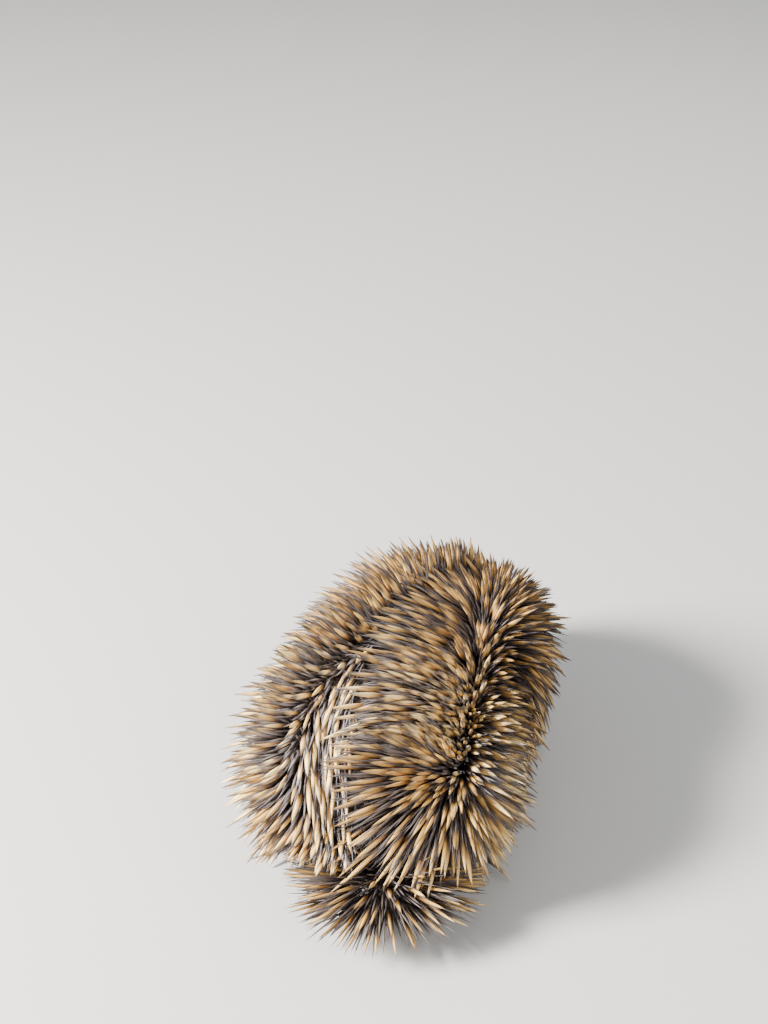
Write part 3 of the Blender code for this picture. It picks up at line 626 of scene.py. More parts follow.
# %% Melt pad, toes and leg together
def make_leg_skin(plan, side):
    centre, turn, toes = toes_of(plan, side)
    bm = bmesh.new()
    egg(bm, centre, plan["pad"], turn)
    for root, out, heading in toes:
        knuckle = root - out * KNUCKLE_BACK + np.array([0, 0, KNUCKLE_UP])
        egg(bm, root, TOE_SIZE, heading - math.pi / 2)
        egg(bm, knuckle, KNUCKLE_SIZE, heading - math.pi / 2)
    _, right, _ = line_axes(plan["along"])
    forward = np.cross([0.0, 0.0, 1.0], right)
    shares = np.linspace(0, 1, 14)
    radii = mix(LEG_TOP_RADIUS, LEG_LOW_RADIUS, shares) - LEG_FUR_DEPTH * ease(0.9, 0.2, shares)
    rings = [circle(p, r, right, forward, 28) for p, r in zip(leg_line(plan, side, shares), radii)]
    bm.from_mesh(loft("leg", rings))
    leg = new_object("leg", mesh_of(bm, "leg"))
    melt = leg.modifiers.new("melt", "REMESH")
    melt.mode, melt.voxel_size = "VOXEL", FOOT_VOXEL
    soften = leg.modifiers.new("soften", "SMOOTH")
    soften.factor, soften.iterations = 0.5, 6
    evaluated(leg)
    for vert in leg.data.vertices:
        vert.co.z = max(vert.co.z, 0.0)
    return leg

# %% [markdown]
# Now the skin becomes one piece. It stands for all the flesh among the solids, from the torso to the
# feet, and shows in their place. Eyes and claws stay out of it, as they are of another stuff.

# %% Join the skin
grown_on = [make_tail_skin()] + [make_ear_skin(side) for _, side in SIDES]
grown_on += [make_leg_skin(plan, side) for _, plan, _, side in FEET]
join_closed(skin, grown_on)
skin.data.shade_smooth()
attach(skin, "root")
flesh = ["torso", "neck", "head", "beak", "tail", "ear_left", "ear_right"]
flesh += [f"{kind}_{part}_{label}" for kind, _, label, _ in FEET for part in ("leg", "foot")]
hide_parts(*flesh)
print("skin:", len(skin.data.vertices), "vertices, replaces", len(flesh), "solids")

# %% [markdown]
# An echidna's skin is thick and dark, bare on the beak and the soles, and finely pebbled. Under the
# spines it shows only as shade. The beak is smoother and slate grey. The mix between the two follows
# an attribute that is measured along the body's line, so there is no edge where the fur stops.

# %% Leathery skin
BARE_FROM, BARE_FULL = 0.246, 0.262


def mark_skin(obj):
    """Stores how far each point is bare beak, and how far it is foot."""
    count = len(obj.data.vertices)
    flat = np.zeros(count * 3)
    obj.data.vertices.foreach_get("co", flat)
    points = flat.reshape(-1, 3)
    wide = STATIONS[::4]
    line = line_point(wide)
    s = np.empty(count)
    for start in range(0, count, 20000):
        part = points[start:start + 20000]
        s[start:start + 20000] = wide[np.argmin(((part[:, None] - line) ** 2).sum(-1), axis=1)]
    beak = ease(BARE_FROM, BARE_FULL, s)
    foot = np.zeros(count)
    for _, plan, _, side in FEET:
        centre = on_floor(plan["along"], side * plan["side"], 0.006)
        foot = np.maximum(foot, 1 - ease(0.022, 0.032, np.linalg.norm(points - centre, axis=-1)))
    for name, values in (("beak", beak), ("foot", foot)):
        attribute = obj.data.attributes.new(name, "FLOAT", "POINT")
        attribute.data.foreach_set("value", values.astype(np.float32))


HIDE, BARE_BEAK, SOLE = ("#1c1410", "#3a2a20"), ("#2b2526", "#4b4141"), ("#241b16", "#44362e")
PEBBLE, GRAIN = 0.0011, 0.004


def leathery_skin():
    """Thick animal hide: it breaks up light in fine pebbles and stays half matt."""
    material, tree, shader = new_material("leathery_hide", 0.55)
    place = object_place(tree)
    pebble = add_node(tree, "ShaderNodeTexVoronoi", inputs={"Vector": place, "Scale": 1 / PEBBLE})
    grain = grain_of(tree, place, GRAIN, 5.0)
    hide, bare, sole = (colour_ramp(tree, grain, [(0.3, dark), (0.7, pale)])
                        for dark, pale in (HIDE, BARE_BEAK, SOLE))
    colour = blended(tree, stored_value(tree, "beak"), hide, bare)
    colour = blended(tree, stored_value(tree, "foot"), colour, sole)
    relief = maths(tree, "MULTIPLY_ADD", pebble.outputs["Distance"], 0.6, grain)
    finish_shader(tree, shader, colour, relief, 0.45, 0.0005)
    return material


mark_skin(skin)
skin.data.materials.clear()
skin.data.materials.append(leathery_skin())
print("pebbles of", PEBBLE * 1000, "mm and a grain of", GRAIN * 1000, "mm on the skin")

# %% [markdown]
# The eyes are small, round and nearly black, wet and a little proud of the head. A finely divided
# ball with a low roughness and the index of a cornea gives the small sharp glint.

# %% Eyes
IRIS_GRAIN = 0.0012


def eye_material():
    """A wet cornea over a dark brown iris: almost black, with a sharp highlight."""
    material, tree, shader = new_material("wet_cornea", 0.04)
    shader.inputs["IOR"].default_value = 1.376
    shader.inputs["Coat Weight"].default_value = 0.6
    shader.inputs["Coat Roughness"].default_value = 0.02
    grain = grain_of(tree, object_place(tree), IRIS_GRAIN)
    colour = colour_ramp(tree, grain, [(0.35, "#0d0807"), (0.75, "#22150e")])
    tree.links.new(colour, shader.inputs["Base Color"])
    return material


wet_eye = eye_material()
for label, side in SIDES:
    bm = bmesh.new()
    bmesh.ops.create_uvsphere(bm, u_segments=40, v_segments=24, radius=BALL_RADIUS,
                              matrix=Matrix.Translation(eye_axes(side)[0]))
    mesh = mesh_of(bm, "eyeball_" + label)
    eye = new_object("eyeball_" + label, mesh)
    mesh.shade_smooth()
    mesh.materials.append(wet_eye)
    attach(eye, "root")
    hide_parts("eye_" + label)
print("two eyes of radius", BALL_RADIUS * 1000, "mm")

# %% [markdown]
# The claws are blunt spades on the forefeet, and on the hind feet the second one is long, for
# combing between the spines. Each is a lofted horn along the same arc as its solid, dark at the toe
# and worn paler at the tip, with fine lines along it.

# %% Claws
CLAW_START_OUT, CLAW_START_UP = 0.0025, 0.0014
CLAW_ARCH, CLAW_SAG, CLAW_TIP_DROP = 0.0022, 0.0052, 0.0058
CLAW_SIDES, CLAW_RINGS, FIBRE = 16, 14, 0.0009


def claw_mesh(root, out, length, radius):
    start = root + out * CLAW_START_OUT + np.array([0.0, 0.0, CLAW_START_UP])
    side = np.array([out[1], -out[0], 0.0])
    reach = CLAW_START_OUT + 0.001 + length
    rings, along = [], []
    for t in np.linspace(-0.12, 0.985, CLAW_RINGS):
        drop = CLAW_ARCH * math.sin(math.pi * max(t, 0)) - CLAW_SAG * t * t
        drop -= (CLAW_TIP_DROP - CLAW_SAG) * t**4
        middle = start + out * reach * t + np.array([0.0, 0.0, drop])
        width = radius * (1 - 0.62 * max(t, 0) ** 1.7) * math.sqrt(max(1 - max(t, 0) ** 9, 0.02))
        turns = np.arange(CLAW_SIDES) * 2 * np.pi / CLAW_SIDES
        high = np.where(np.sin(turns) > 0, 0.86, 0.62)
        over = np.outer(np.sin(turns) * high, [0, 0, 1])
        ring = middle + width * (np.outer(np.cos(turns), side) + over)
        ring[:, 2] = np.maximum(ring[:, 2], 0.0002)
        rings.append(ring)
        along += [min(max(t, 0), 1)] * CLAW_SIDES
    return loft("claw", rings), along


def horn_material():
    """Worn horn: fibres lie along the claw, so it is lined lengthwise and shines softly."""
    material, tree, shader = new_material("worn_horn", 0.38)
    lines = grain_of(tree, object_place(tree), FIBRE, 4.0)
    shade = maths(tree, "MULTIPLY_ADD", lines, 0.35, stored_value(tree, "along"))
    colour = colour_ramp(tree, shade, [(0.15, "#2a1f1a"), (0.7, "#5c4a3b"), (1.0, "#9a8468")])
    finish_shader(tree, shader, colour, lines, 0.3, 0.0003)
    return material


def make_claws():
    bm = bmesh.new()
    along = []
    for _, plan, _, side in FEET:
        for (root, out, _), length in zip(toes_of(plan, side)[2], plan["claws"]):
            mesh, shares = claw_mesh(root, out, length, plan["claw_radius"])
            bm.from_mesh(mesh)
            along += shares
    mesh = mesh_of(bm, "claws")
    attribute = mesh.attributes.new("along", "FLOAT", "POINT")
    attribute.data.foreach_set("value", np.array(along, np.float32))
    mesh.shade_smooth()
    mesh.materials.append(horn_material())
    return new_object("claws", mesh)


claws = make_claws()
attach(claws, "root")
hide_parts(*[f"{kind}_claw_{label}_{i}" for kind, _, label, _ in FEET for i in range(1, 6)])
print("claws:", len(claws.data.polygons), "faces")

# %% [markdown]
# The lie of the spines is what names this pose. Right of the seam they radiate from a whorl on the
# rump and part ahead of it, over the seam to the left and down the flank to the right. Left of the
# seam they hang back beside it, and stand out beyond a second parting line. The tables give angles
# of the lines along the body, and the way spines point that stand on the right parting itself.

# %% The lie of the spines
WHORL_END = -0.090
RIGHT_PARTING = ((-0.100, 56), (-0.085, 52), (-0.060, 49), (0.0, 46), (0.033, 42), (0.063, 36),
                 (0.096, 30), (0.140, 24))
LINE_POINTS = ((-0.120, (0.17, -0.82, 0.55)), (-0.098, (0.17, -0.74, 0.65)),
               (-0.055, (0.17, -0.72, 0.67)), (-0.010, (0.18, -0.60, 0.78)),
               (0.045, (0.20, -0.45, 0.87)), (0.110, (0.30, -0.15, 0.94)))
LOBE_LEAN, LOBE_SWING = 62, 50
FAN_WIDTH, FAN_WIDTH_BEHIND = 0.018, 0.050
LEFT_PARTING = ((-0.113, 72), (-0.060, 63), (-0.028, 52), (0.013, 36), (0.045, 22), (0.1, 10), (0.2, 5))
SEAM = ((-0.130, -8), (-0.100, -5), (-0.060, -2))
SEAM_GAP, PARTING_BAND = 0.018, 0.045


def leaned(normal, combed, lean):
    lean = np.radians(lean)[..., None]
    return normal * np.cos(lean) + combed * np.sin(lean)


def combed(back, lateral, swing):
    swing = np.radians(swing)[..., None]
    return back * np.cos(swing) - lateral * np.sin(swing)


def fan(value):
    """Rises straight from 0 and levels out at 1."""
    return np.sin(np.clip(value, 0.0, 1.0) * np.pi / 2)


def between(table, s):
    """Values or directions that a table gives for places along the body."""
    values = np.array([row[1] for row in table], float).reshape(len(table), -1)
    found = np.stack([np.interp(s, [row[0] for row in table], column) for column in values.T], -1)
    return found if values.shape[1] > 1 else found[..., 0]


def beyond_right(s, angle):
    """Metres past the right parting line, down the flank."""
    return np.radians(angle - between(RIGHT_PARTING, s)) * girth(s)


def beyond_left(s, angle):
    return np.radians(-angle - between(LEFT_PARTING, s)) * girth(s)


def seam(s):
    """The angle at which the right lobe's spines end, over those of the left."""
    return between(SEAM, s)


print("tables of", len(RIGHT_PARTING), "and", len(LEFT_PARTING), "places give the partings")

# %% [markdown]
# A direction is made from how far it leans from the surface's normal, and how far it swings from
# straight back. Beside a line it changes as a fan opens, fast at first, and past the fan's width
# it holds. Round the whorl's end the spines point away from the nearest point of the line, ahead
# of it they follow the herringbone, and a soft share blends the two.

# %% Directions right and left of the seam
def right_lie(s, angle, place, normal, back, lateral):
    """Along the parting they stand out, left of it they lie over the seam, right of it down."""
    beyond = beyond_right(s, angle)
    low, front = ease(64, 92, angle), ease(0.05, 0.10, s)
    flank_lean = mix(mix(32, 66, low), mix(34, 77, ease(44, 70, angle)), front)
    flank_swing = -mix(mix(10, 65, low), mix(50, 45, low), front)
    lean = np.where(beyond < 0, LOBE_LEAN, flank_lean)
    swing = np.where(beyond < 0, LOBE_SWING, flank_swing)
    axis = unit(between(LINE_POINTS, s))
    beside = leaned(normal, combed(back, lateral, swing), lean)
    ahead = mix(axis, beside, fan(abs(beyond) / FAN_WIDTH)[..., None])
    nearest = np.maximum(s, WHORL_END)
    away = place - body_point(nearest, between(RIGHT_PARTING, nearest))
    far = np.linalg.norm(away, axis=-1)
    along = away - normal * (away * normal).sum(-1, keepdims=True)
    hip = ease(0, 0.02, beyond) * ease(-0.125, -0.085, s) * (1 - low)
    spread = mix(58 + 16 * ease(0.05, 0.09, far), 44, hip)
    width = mix(FAN_WIDTH, FAN_WIDTH_BEHIND, ease(0, 0.02, WHORL_END - s))
    radial = mix(axis, leaned(normal, unit(along), spread), fan(far / width)[..., None])
    past = ease(WHORL_END - 0.010, WHORL_END + 0.050, s + 0.30 * np.maximum(-beyond, 0.0))
    return unit(mix(unit(radial), unit(ahead), past[..., None]))


def left_lie(s, angle, normal, back, lateral):
    """Beside the seam they lie back, flatter towards it, and past the left parting they stand out."""
    beyond = beyond_left(s, angle)
    lean = mix(mix(26, 79, ease(0, PARTING_BAND, -beyond)), 46, ease(0, PARTING_BAND, beyond))
    swing = 14 * ease(0, 0.02, -beyond) * (1 - ease(0.025, 0.05, -beyond)) - 58 * ease(0, 0.03, beyond)
    axle = line_axes(-0.100)[1]
    straight = unit(np.cross(axle, normal))
    upright = ease(0.030, 0.075, -s) * (1 - ease(0.70, 0.95, abs(normal @ axle)))
    back = unit(mix(back, straight, upright[..., None]))
    lateral = np.cross(back, normal)
    return unit(leaned(normal, combed(back, lateral, swing), lean))

# %% [markdown]
# The two sides meet at the seam without a blend, as one lobe of spines simply lies over the other.
# The tail has a lie of its own: steep in its middle and nearly level at its rim, like a fan.

# %% Directions on the body and the tail
def body_lie(s, angle):
    """Root, outward normal and direction of the spines that grow at places on the body."""
    place, normal, back, side = surface_axes(body_point, s, angle)
    right = right_lie(s, angle, place, normal, back, side)
    left = left_lie(s, angle, normal, back, -side)
    return place, normal, np.where((angle >= seam(s))[..., None], right, left)


def tail_lie(s, angle):
    """On the tail they spread like a fan, low over the floor."""
    place, normal, _, _ = surface_axes(tail_point, s, angle, TAIL_END, TAIL_START)
    out = place - tail_middle(np.asarray(TAIL_CENTRE))
    out[..., 2] = 0.0
    share = np.clip(np.linalg.norm(out, axis=-1) / 0.038, 0.0, 1.0)
    rise = np.radians(mix(62, 3, share**1.4))[..., None]
    return place, normal, unit(out) * np.cos(rise) + np.array([0.0, 0.0, 1.0]) * np.sin(rise)


print("the whorl is at", np.round(body_point(WHORL_END, between(RIGHT_PARTING, WHORL_END)), 3))

# %% [markdown]
# Real spines stand in staggered rows, about as far apart on the broad rump as on the neck. So the
# rows follow the length walked over the surface, each holds as many roots as its girth has room
# for, and each root then wanders a little.

# %% Rows of roots
def rows_of_roots(point, first, last, spacing, reach_down, draw, wander=0.16, start_angle=0.0):
    """Staggered rows of roots, evenly spread over a surface from one place to another."""
    places = np.linspace(first, last, 400)
    crest = 0.5 * (point(places, 0) + point(places, 90))
    flank = point(places, 90)
    walked = np.zeros(len(places))
    for line in (crest, flank):
        walked[1:] += 0.5 * np.cumsum(np.linalg.norm(np.diff(line, axis=0), axis=1))
    count = max(2, round(walked[-1] / (spacing * 0.87)))
    rows = np.interp((np.arange(count) + 0.5) * walked[-1] / count, walked, places)
    found = []
    for number, s in enumerate(rows):
        wide = np.linalg.norm(point(s, 90) - point(s, -90))
        high = np.linalg.norm(point(s, 0) - point(s, 180))
        radius = 0.25 * (wide + high)
        across = max(1, round(math.radians(2 * reach_down) * radius / spacing))
        share = (np.arange(across) + (0.25 if number % 2 else 0.75)) / across
        angle = start_angle + (2 * share - 1) * reach_down
        angle = angle + np.degrees(draw.normal(0, wander, across) * spacing / radius)
        found.append(np.stack([s + draw.normal(0, wander, across) * spacing, angle], -1))
    return np.concatenate(found)

# %% [markdown]
# Where spines lean away from a line on both sides, bare skin would show between them. At the whorl
# and the right parting three finer sets of rows fill it, and at the left parting one. A root of
# them is kept by a chance that falls with its distance from the line. Left of the seam a strip
# stays without roots, as the tips of the right lobe lie there.

# %% Roots on the body
CROWD_WIDTH = 0.015


def body_roots(first, last, spacing, reach_down, draw):
    """Even rows, with more roots at the whorl and the partings and none in the seam's gap."""
    sets = [rows_of_roots(body_point, first, last, spacing, reach_down, draw)]
    centre = body_point(WHORL_END, between(RIGHT_PARTING, WHORL_END))
    for finer, width in ((0.85, CROWD_WIDTH), (0.68, CROWD_WIDTH), (0.66, 0.7 * CROWD_WIDTH)):
        more = rows_of_roots(body_point, first, last, spacing * finer, reach_down, draw)
        whorl = np.linalg.norm(body_point(*more.T) - centre, axis=-1)
        line = np.where(more[:, 0] > WHORL_END, abs(beyond_right(*more.T)), 1.0)
        near = np.minimum(whorl * 0.5, line + 0.02 * ease(-0.02, 0.05, more[:, 0]) * (finer < 0.8))
        if finer > 0.8:
            near = np.where(more[:, 1] > seam(more[:, 0]), near, abs(beyond_left(*more.T)))
        sets.append(more[draw.random(len(more)) < ridge(near, width)])
    s, angle = np.concatenate(sets).T
    half = section(s)[0]
    gap = SEAM_GAP * (1 - ease(0.05, 0.12, s))
    past_gap = half * np.sin(np.radians(angle)) < half * np.sin(np.radians(seam(s))) - gap
    rooted = (angle >= seam(s)) | past_gap
    return s[rooted], angle[rooted]

# %% [markdown]
# One Geometry Nodes tree grows every spine and hair. It draws a straight quill, sets one on each
# point, turned and stretched by what the point stores, makes the copies real, bends them, and stores
# the map for baking, where each quill is a small patch at its root's place on the unrolled skin.

# %% The tree that grows quills
PATCH = 0.003


def quill_tree():
    tree = bpy.data.node_groups.new("Grow quills", "GeometryNodeTree")
    face = tree.interface
    face.new_socket("Geometry", in_out="INPUT", socket_type="NodeSocketGeometry")
    for name, kind, value in (("Sides", "Int", 6), ("Rings", "Int", 8), ("Root share", "Float", 0.6),
                              ("Swell at", "Float", 0.3), ("Taper", "Float", 2.0), ("Seed", "Int", 1)):
        socket = face.new_socket(name, in_out="INPUT", socket_type="NodeSocket" + kind)
        socket.default_value = value
    face.new_socket("Material", in_out="INPUT", socket_type="NodeSocketMaterial")
    face.new_socket("Geometry", in_out="OUTPUT", socket_type="NodeSocketGeometry")
    group = add_node(tree, "NodeGroupInput").outputs

    def made(kind, inputs, settings=None):
        return add_node(tree, "GeometryNode" + kind, settings, inputs).outputs[0]

    def keep(geometry, name, value, kind="FLOAT", domain="POINT"):
        inputs = {"Geometry": geometry, "Name": name, "Value": value}
        return made("StoreNamedAttribute", inputs, {"data_type": kind, "domain": domain})

    def stored(name, kind="FLOAT"):
        node = add_node(tree, "GeometryNodeInputNamedAttribute", {"data_type": kind}, {"Name": name})
        return node.outputs["Attribute"]

    def vector(**parts):
        return add_node(tree, "ShaderNodeCombineXYZ", inputs=parts).outputs[0]

    stem = made("CurvePrimitiveLine", {"End": (0.0, 0.0, 1.0)})
    stem = made("ResampleCurve", {"Curve": stem, "Count": group["Rings"]})
    along = add_node(tree, "GeometryNodeSplineParameter").outputs["Factor"]
    stem = keep(stem, "along", along)
    swell = add_node(tree, "ShaderNodeMapRange", {"interpolation_type": "SMOOTHSTEP"},
                     {"Value": along, "From Max": group["Swell at"], "To Min": group["Root share"]})
    past = add_node(tree, "ShaderNodeMapRange", inputs={"Value": along, "From Min": group["Swell at"]})
    power = maths(tree, "POWER", past.outputs["Result"], group["Taper"])
    thin = maths(tree, "MULTIPLY_ADD", power, -0.97, 1.0)
    radius = maths(tree, "MULTIPLY", swell.outputs["Result"], thin)
    stem = made("SetCurveRadius", {"Curve": stem, "Radius": radius})
    ring = made("CurvePrimitiveCircle", {"Resolution": group["Sides"], "Radius": 1.0})
    around = add_node(tree, "GeometryNodeSplineParameter").outputs["Factor"]
    ring = keep(ring, "around", around)
    quill = made("CurveToMesh", {"Curve": stem, "Profile Curve": ring, "Scale": radius,
                                 "Fill Caps": True})

    points = made("MeshToPoints", {"Mesh": group["Geometry"]})
    turn = add_node(tree, "FunctionNodeAlignRotationToVector", {"axis": "Z"},
                    {"Vector": stored("lie", "FLOAT_VECTOR")})
    spin = add_node(tree, "FunctionNodeRandomValue", {"data_type": "FLOAT"},
                    {"Min": 0.0, "Max": 6.283, "Seed": group["Seed"]})
    turn = add_node(tree, "FunctionNodeRotateRotation", {"rotation_space": "LOCAL"},
                    {0: turn.outputs[0], 1: vector(Z=spin.outputs[1])})
    size = vector(X=stored("thick"), Y=stored("thick"), Z=stored("long"))
    copies = made("InstanceOnPoints", {"Points": points, "Instance": quill,
                                       "Rotation": turn.outputs[0], "Scale": size})
    real = made("RealizeInstances", {0: copies})

    square = maths(tree, "POWER", stored("along"), 2.0)
    bend = add_node(tree, "ShaderNodeVectorMath", {"operation": "SCALE"},
                    {0: stored("bend", "FLOAT_VECTOR"), "Scale": square})
    moved = made("SetPosition", {"Geometry": real, "Offset": bend.outputs[0]})
    corner = vector(X=stored("around"), Y=stored("along"))
    patch = add_node(tree, "ShaderNodeVectorMath", {"operation": "MULTIPLY_ADD"},
                     {0: corner, 1: (PATCH, PATCH, 0.0), 2: stored("root_map", "FLOAT_VECTOR")})
    mapped = keep(moved, "OFBake", patch.outputs[0], "FLOAT2", "CORNER")
    smooth = made("SetShadeSmooth", {"Geometry": mapped})
    painted = made("SetMaterial", {"Geometry": smooth, "Material": group["Material"]})
    add_node(tree, "NodeGroupOutput", inputs={"Geometry": painted})
    return tree


QUILLS = quill_tree()
print("the tree that grows quills has", len(QUILLS.nodes), "nodes")

# %% [markdown]
# A coat is a cloud of points that carry what the tree reads. It is split into pieces where it would
# get too heavy, its modifier's inputs are set before the tree first runs, and the result is kept as
# plain mesh. The points' own values are dropped once they have done their work.

# %% Grow one coat
PIECE_TRIANGLES = 190000


def grow(name, roots, material, sides, rings, root_share, swell_at, taper, seed):
    """Makes a coat from arrays of roots: place, lie, long, thick, bend, root_map and its tones."""
    each = 2 * sides * (rings - 1) + 2 * (sides - 2)
    total = len(roots["place"])
    pieces = math.ceil(total * each / PIECE_TRIANGLES)
    made = []
    for number in range(pieces):
        chosen = slice(number * total // pieces, (number + 1) * total // pieces)
        mesh = mesh_from(name, roots["place"][chosen], [])
        for key, values in roots.items():
            if key == "place":
                continue
            values = np.asarray(values, np.float32)[chosen]
            kind = "FLOAT_VECTOR" if values.ndim == 2 else "FLOAT"
            field = "vector" if values.ndim == 2 else "value"
            mesh.attributes.new(key, kind, "POINT").data.foreach_set(field, values.ravel())
        obj = new_object(name if pieces == 1 else f"{name}_{number + 1}", mesh)
        modifier = obj.modifiers.new("grow", "NODES")
        modifier.node_group = QUILLS
        inputs = {"Sides": sides, "Rings": rings, "Root share": root_share, "Swell at": swell_at,
                  "Taper": taper, "Seed": seed, "Material": material}
        for item in QUILLS.interface.items_tree:
            if item.in_out == "INPUT" and item.name in inputs:
                modifier[item.identifier] = inputs[item.name]
        evaluated(obj)
        for key in ("lie", "long", "thick", "bend", "root_map"):
            if key in obj.data.attributes:
                obj.data.attributes.remove(obj.data.attributes[key])
        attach(obj, "root")
        made.append(obj)
    print(name, total, "quills in", pieces, "pieces of about", each * total // pieces, "triangles")
    return made

# %% [markdown]
# To keep its colours as a picture, each piece needs a map on which every quill has a small patch. On
# it the unrolled body takes the lower two thirds, the tail a corner above it, each limb a strip and
# each ear a square, so that quills which grow side by side also lie side by side on the map.

# %% Places on the map for baking
def map_point(x, y):
    return np.stack([x, y, np.zeros_like(y)], -1)


def body_map(s, angle):
    """The unrolled body takes the lower part of the map."""
    around = 0.01 + 0.97 * ((angle + 180) % 360) / 360
    return map_point(around, 0.01 + 0.66 * (s - TAIL_END) / (BEAK_TIP - TAIL_END))


def tail_map(s, angle):
    around = 0.01 + 0.24 * ((angle + 180) % 360) / 360
    return map_point(around, 0.70 + 0.28 * (s - TAIL_END) / (TAIL_START - TAIL_END))


def limb_map(number, turn, height):
    return map_point(0.30 + 0.17 * number + 0.15 * turn / 6.2832, height)


print("the top of the hips is at", np.round(body_map(HIP, 0.0)[:2], 2), "on the map")

# %% [markdown]
# A spine is one thick hollow hair of keratin: dark where it leaves the skin, warm orange brown to
# cream along its shaft, and on the back it ends in a thin charcoal point. On the flanks and the
# tail it stays cream to the tip. Between these thick shafts stand over four times as many thin ones,
# of a grey brown. The colours are ramps along the spine, tinted a little differently on each.

# %% Spine keratin
def fine_lines(tree, along, around, tone):
    """Lengthwise streaks that differ from one spine to the next."""
    place = add_node(tree, "ShaderNodeCombineXYZ",
                     inputs={"X": maths(tree, "MULTIPLY", around, 9.0),
                             "Y": maths(tree, "MULTIPLY", along, 3.0),
                             "Z": maths(tree, "MULTIPLY", tone, 900.0)})
    return grain_of(tree, place.outputs[0], 1.0)


def keratin_material(name, dark_stops, pale_stops, tint_stops, roughness):
    """Smooth keratin with fine lines along it: a satin shine and bands of colour."""
    material, tree, shader = new_material(name, roughness)
    along, around = stored_value(tree, "along"), stored_value(tree, "around")
    tone, pale = stored_value(tree, "tone"), stored_value(tree, "pale")
    streak = fine_lines(tree, along, around, tone)
    place = maths(tree, "MULTIPLY_ADD", streak, 0.10, along)
    bands = blended(tree, pale, colour_ramp(tree, place, dark_stops),
                    colour_ramp(tree, place, pale_stops))
    colour = blended(tree, 1.0, bands, colour_ramp(tree, tone, tint_stops), "MULTIPLY")
    finish_shader(tree, shader, colour, streak, 0.25, 0.0002)
    return material


SHAFT_KERATIN = keratin_material(
    "shaft_keratin",
    [(0.08, "#231c17"), (0.30, "#50433a"), (0.41, "#977b5c"), (0.52, "#dcb784"), (0.68, "#ffe1a0"),
     (0.78, "#dec390"), (0.86, "#7e736b"), (1.0, "#454144")],
    [(0.12, "#1f1812"), (0.38, "#433628"), (0.50, "#9a7c52"), (0.62, "#dfbd7a"), (0.80, "#fee398"),
     (0.95, "#f6dda2"), (1.0, "#a6926a")],
    [(0.0, "#958065"), (0.35, "#cfb899"), (0.7, "#f7e9ce"), (1.0, "#ffffff")], 0.38)
THIN_KERATIN = keratin_material(
    "thin_keratin",
    [(0.08, "#241d1b"), (0.28, "#504745"), (0.52, "#918a88"), (0.78, "#a5a0a0"), (1.0, "#6a6870")],
    [(0.08, "#241d1b"), (0.34, "#51463e"), (0.60, "#948774"), (0.85, "#b3a488"), (1.0, "#988d79")],
    [(0.0, "#746a66"), (0.4, "#a59e9b"), (0.8, "#d0cccb"), (1.0, "#eeeced")], 0.34)
print("made", SHAFT_KERATIN.name, "and", THIN_KERATIN.name)

# %% [markdown]
# Both kinds grow from the same rules and differ in spacing, length and thickness. They are shorter
# towards the neck, low on the flanks and over the tail. Their roots sink under the skin, a few
# degrees of scatter keep them from looking combed, and none may pass through the floor.

# %% Grow the spines
SPINE_LENGTH, TAIL_SPINE_LENGTH, HEAD_SPINE_LENGTH = 0.050, 0.051, 0.019
THICK_SPACING, THIN_SPACING = 0.0090, 0.0042
FLOOR_CLEARANCE = 0.0015
draw = np.random.default_rng(7)


def clear_of_floor(place, lie, long):
    """Lifts a direction whose tip would be under the floor until the tip is just above it."""
    short = FLOOR_CLEARANCE - (place[:, 2] + lie[:, 2] * long)
    rise = np.where(short > 0, (FLOOR_CLEARANCE - place[:, 2]) / long, lie[:, 2])
    flat = unit(lie * np.array([1.0, 1.0, 0.0])) * np.sqrt(np.maximum(1 - rise**2, 0.0))[:, None]
    lifted = flat + rise[:, None] * np.array([0.0, 0.0, 1.0])
    return np.where((short > 0)[:, None], lifted, lie)


def strewn(lie, amount):
    """Directions scattered a little, as no two spines lie quite alike."""
    return unit(lie + draw.normal(0, 1, lie.shape) * np.reshape(amount, (-1, 1)))


def coat_roots(place, normal, lie, long, thick, root_map, droop, **tones):
    lie = clear_of_floor(place, lie, long)
    sink = np.minimum(0.0022, long * 0.12)[:, None]
    way = -normal * droop + draw.normal(0, 0.012, place.shape)
    bend = way * long[:, None]
    bend[:, 2] = np.maximum(bend[:, 2], np.minimum(0, FLOOR_CLEARANCE - place[:, 2] - lie[:, 2] * long))
    roots = {"place": place - normal * sink, "lie": lie, "long": long, "thick": thick,
             "bend": bend, "root_map": root_map}
    roots.update(tones)
    return roots


def grow_thick(name, roots):
    return grow(name + "_thick", roots, SHAFT_KERATIN, sides=7, rings=9,
                root_share=0.5, swell_at=0.42, taper=2.5, seed=3)


def grow_thin(name, roots):
    return grow(name + "_thin", roots, THIN_KERATIN, sides=5, rings=7,
                root_share=0.6, swell_at=0.40, taper=2.0, seed=4)


print("spines are up to", round(SPINE_LENGTH * 1.1 * 1000), "mm long")
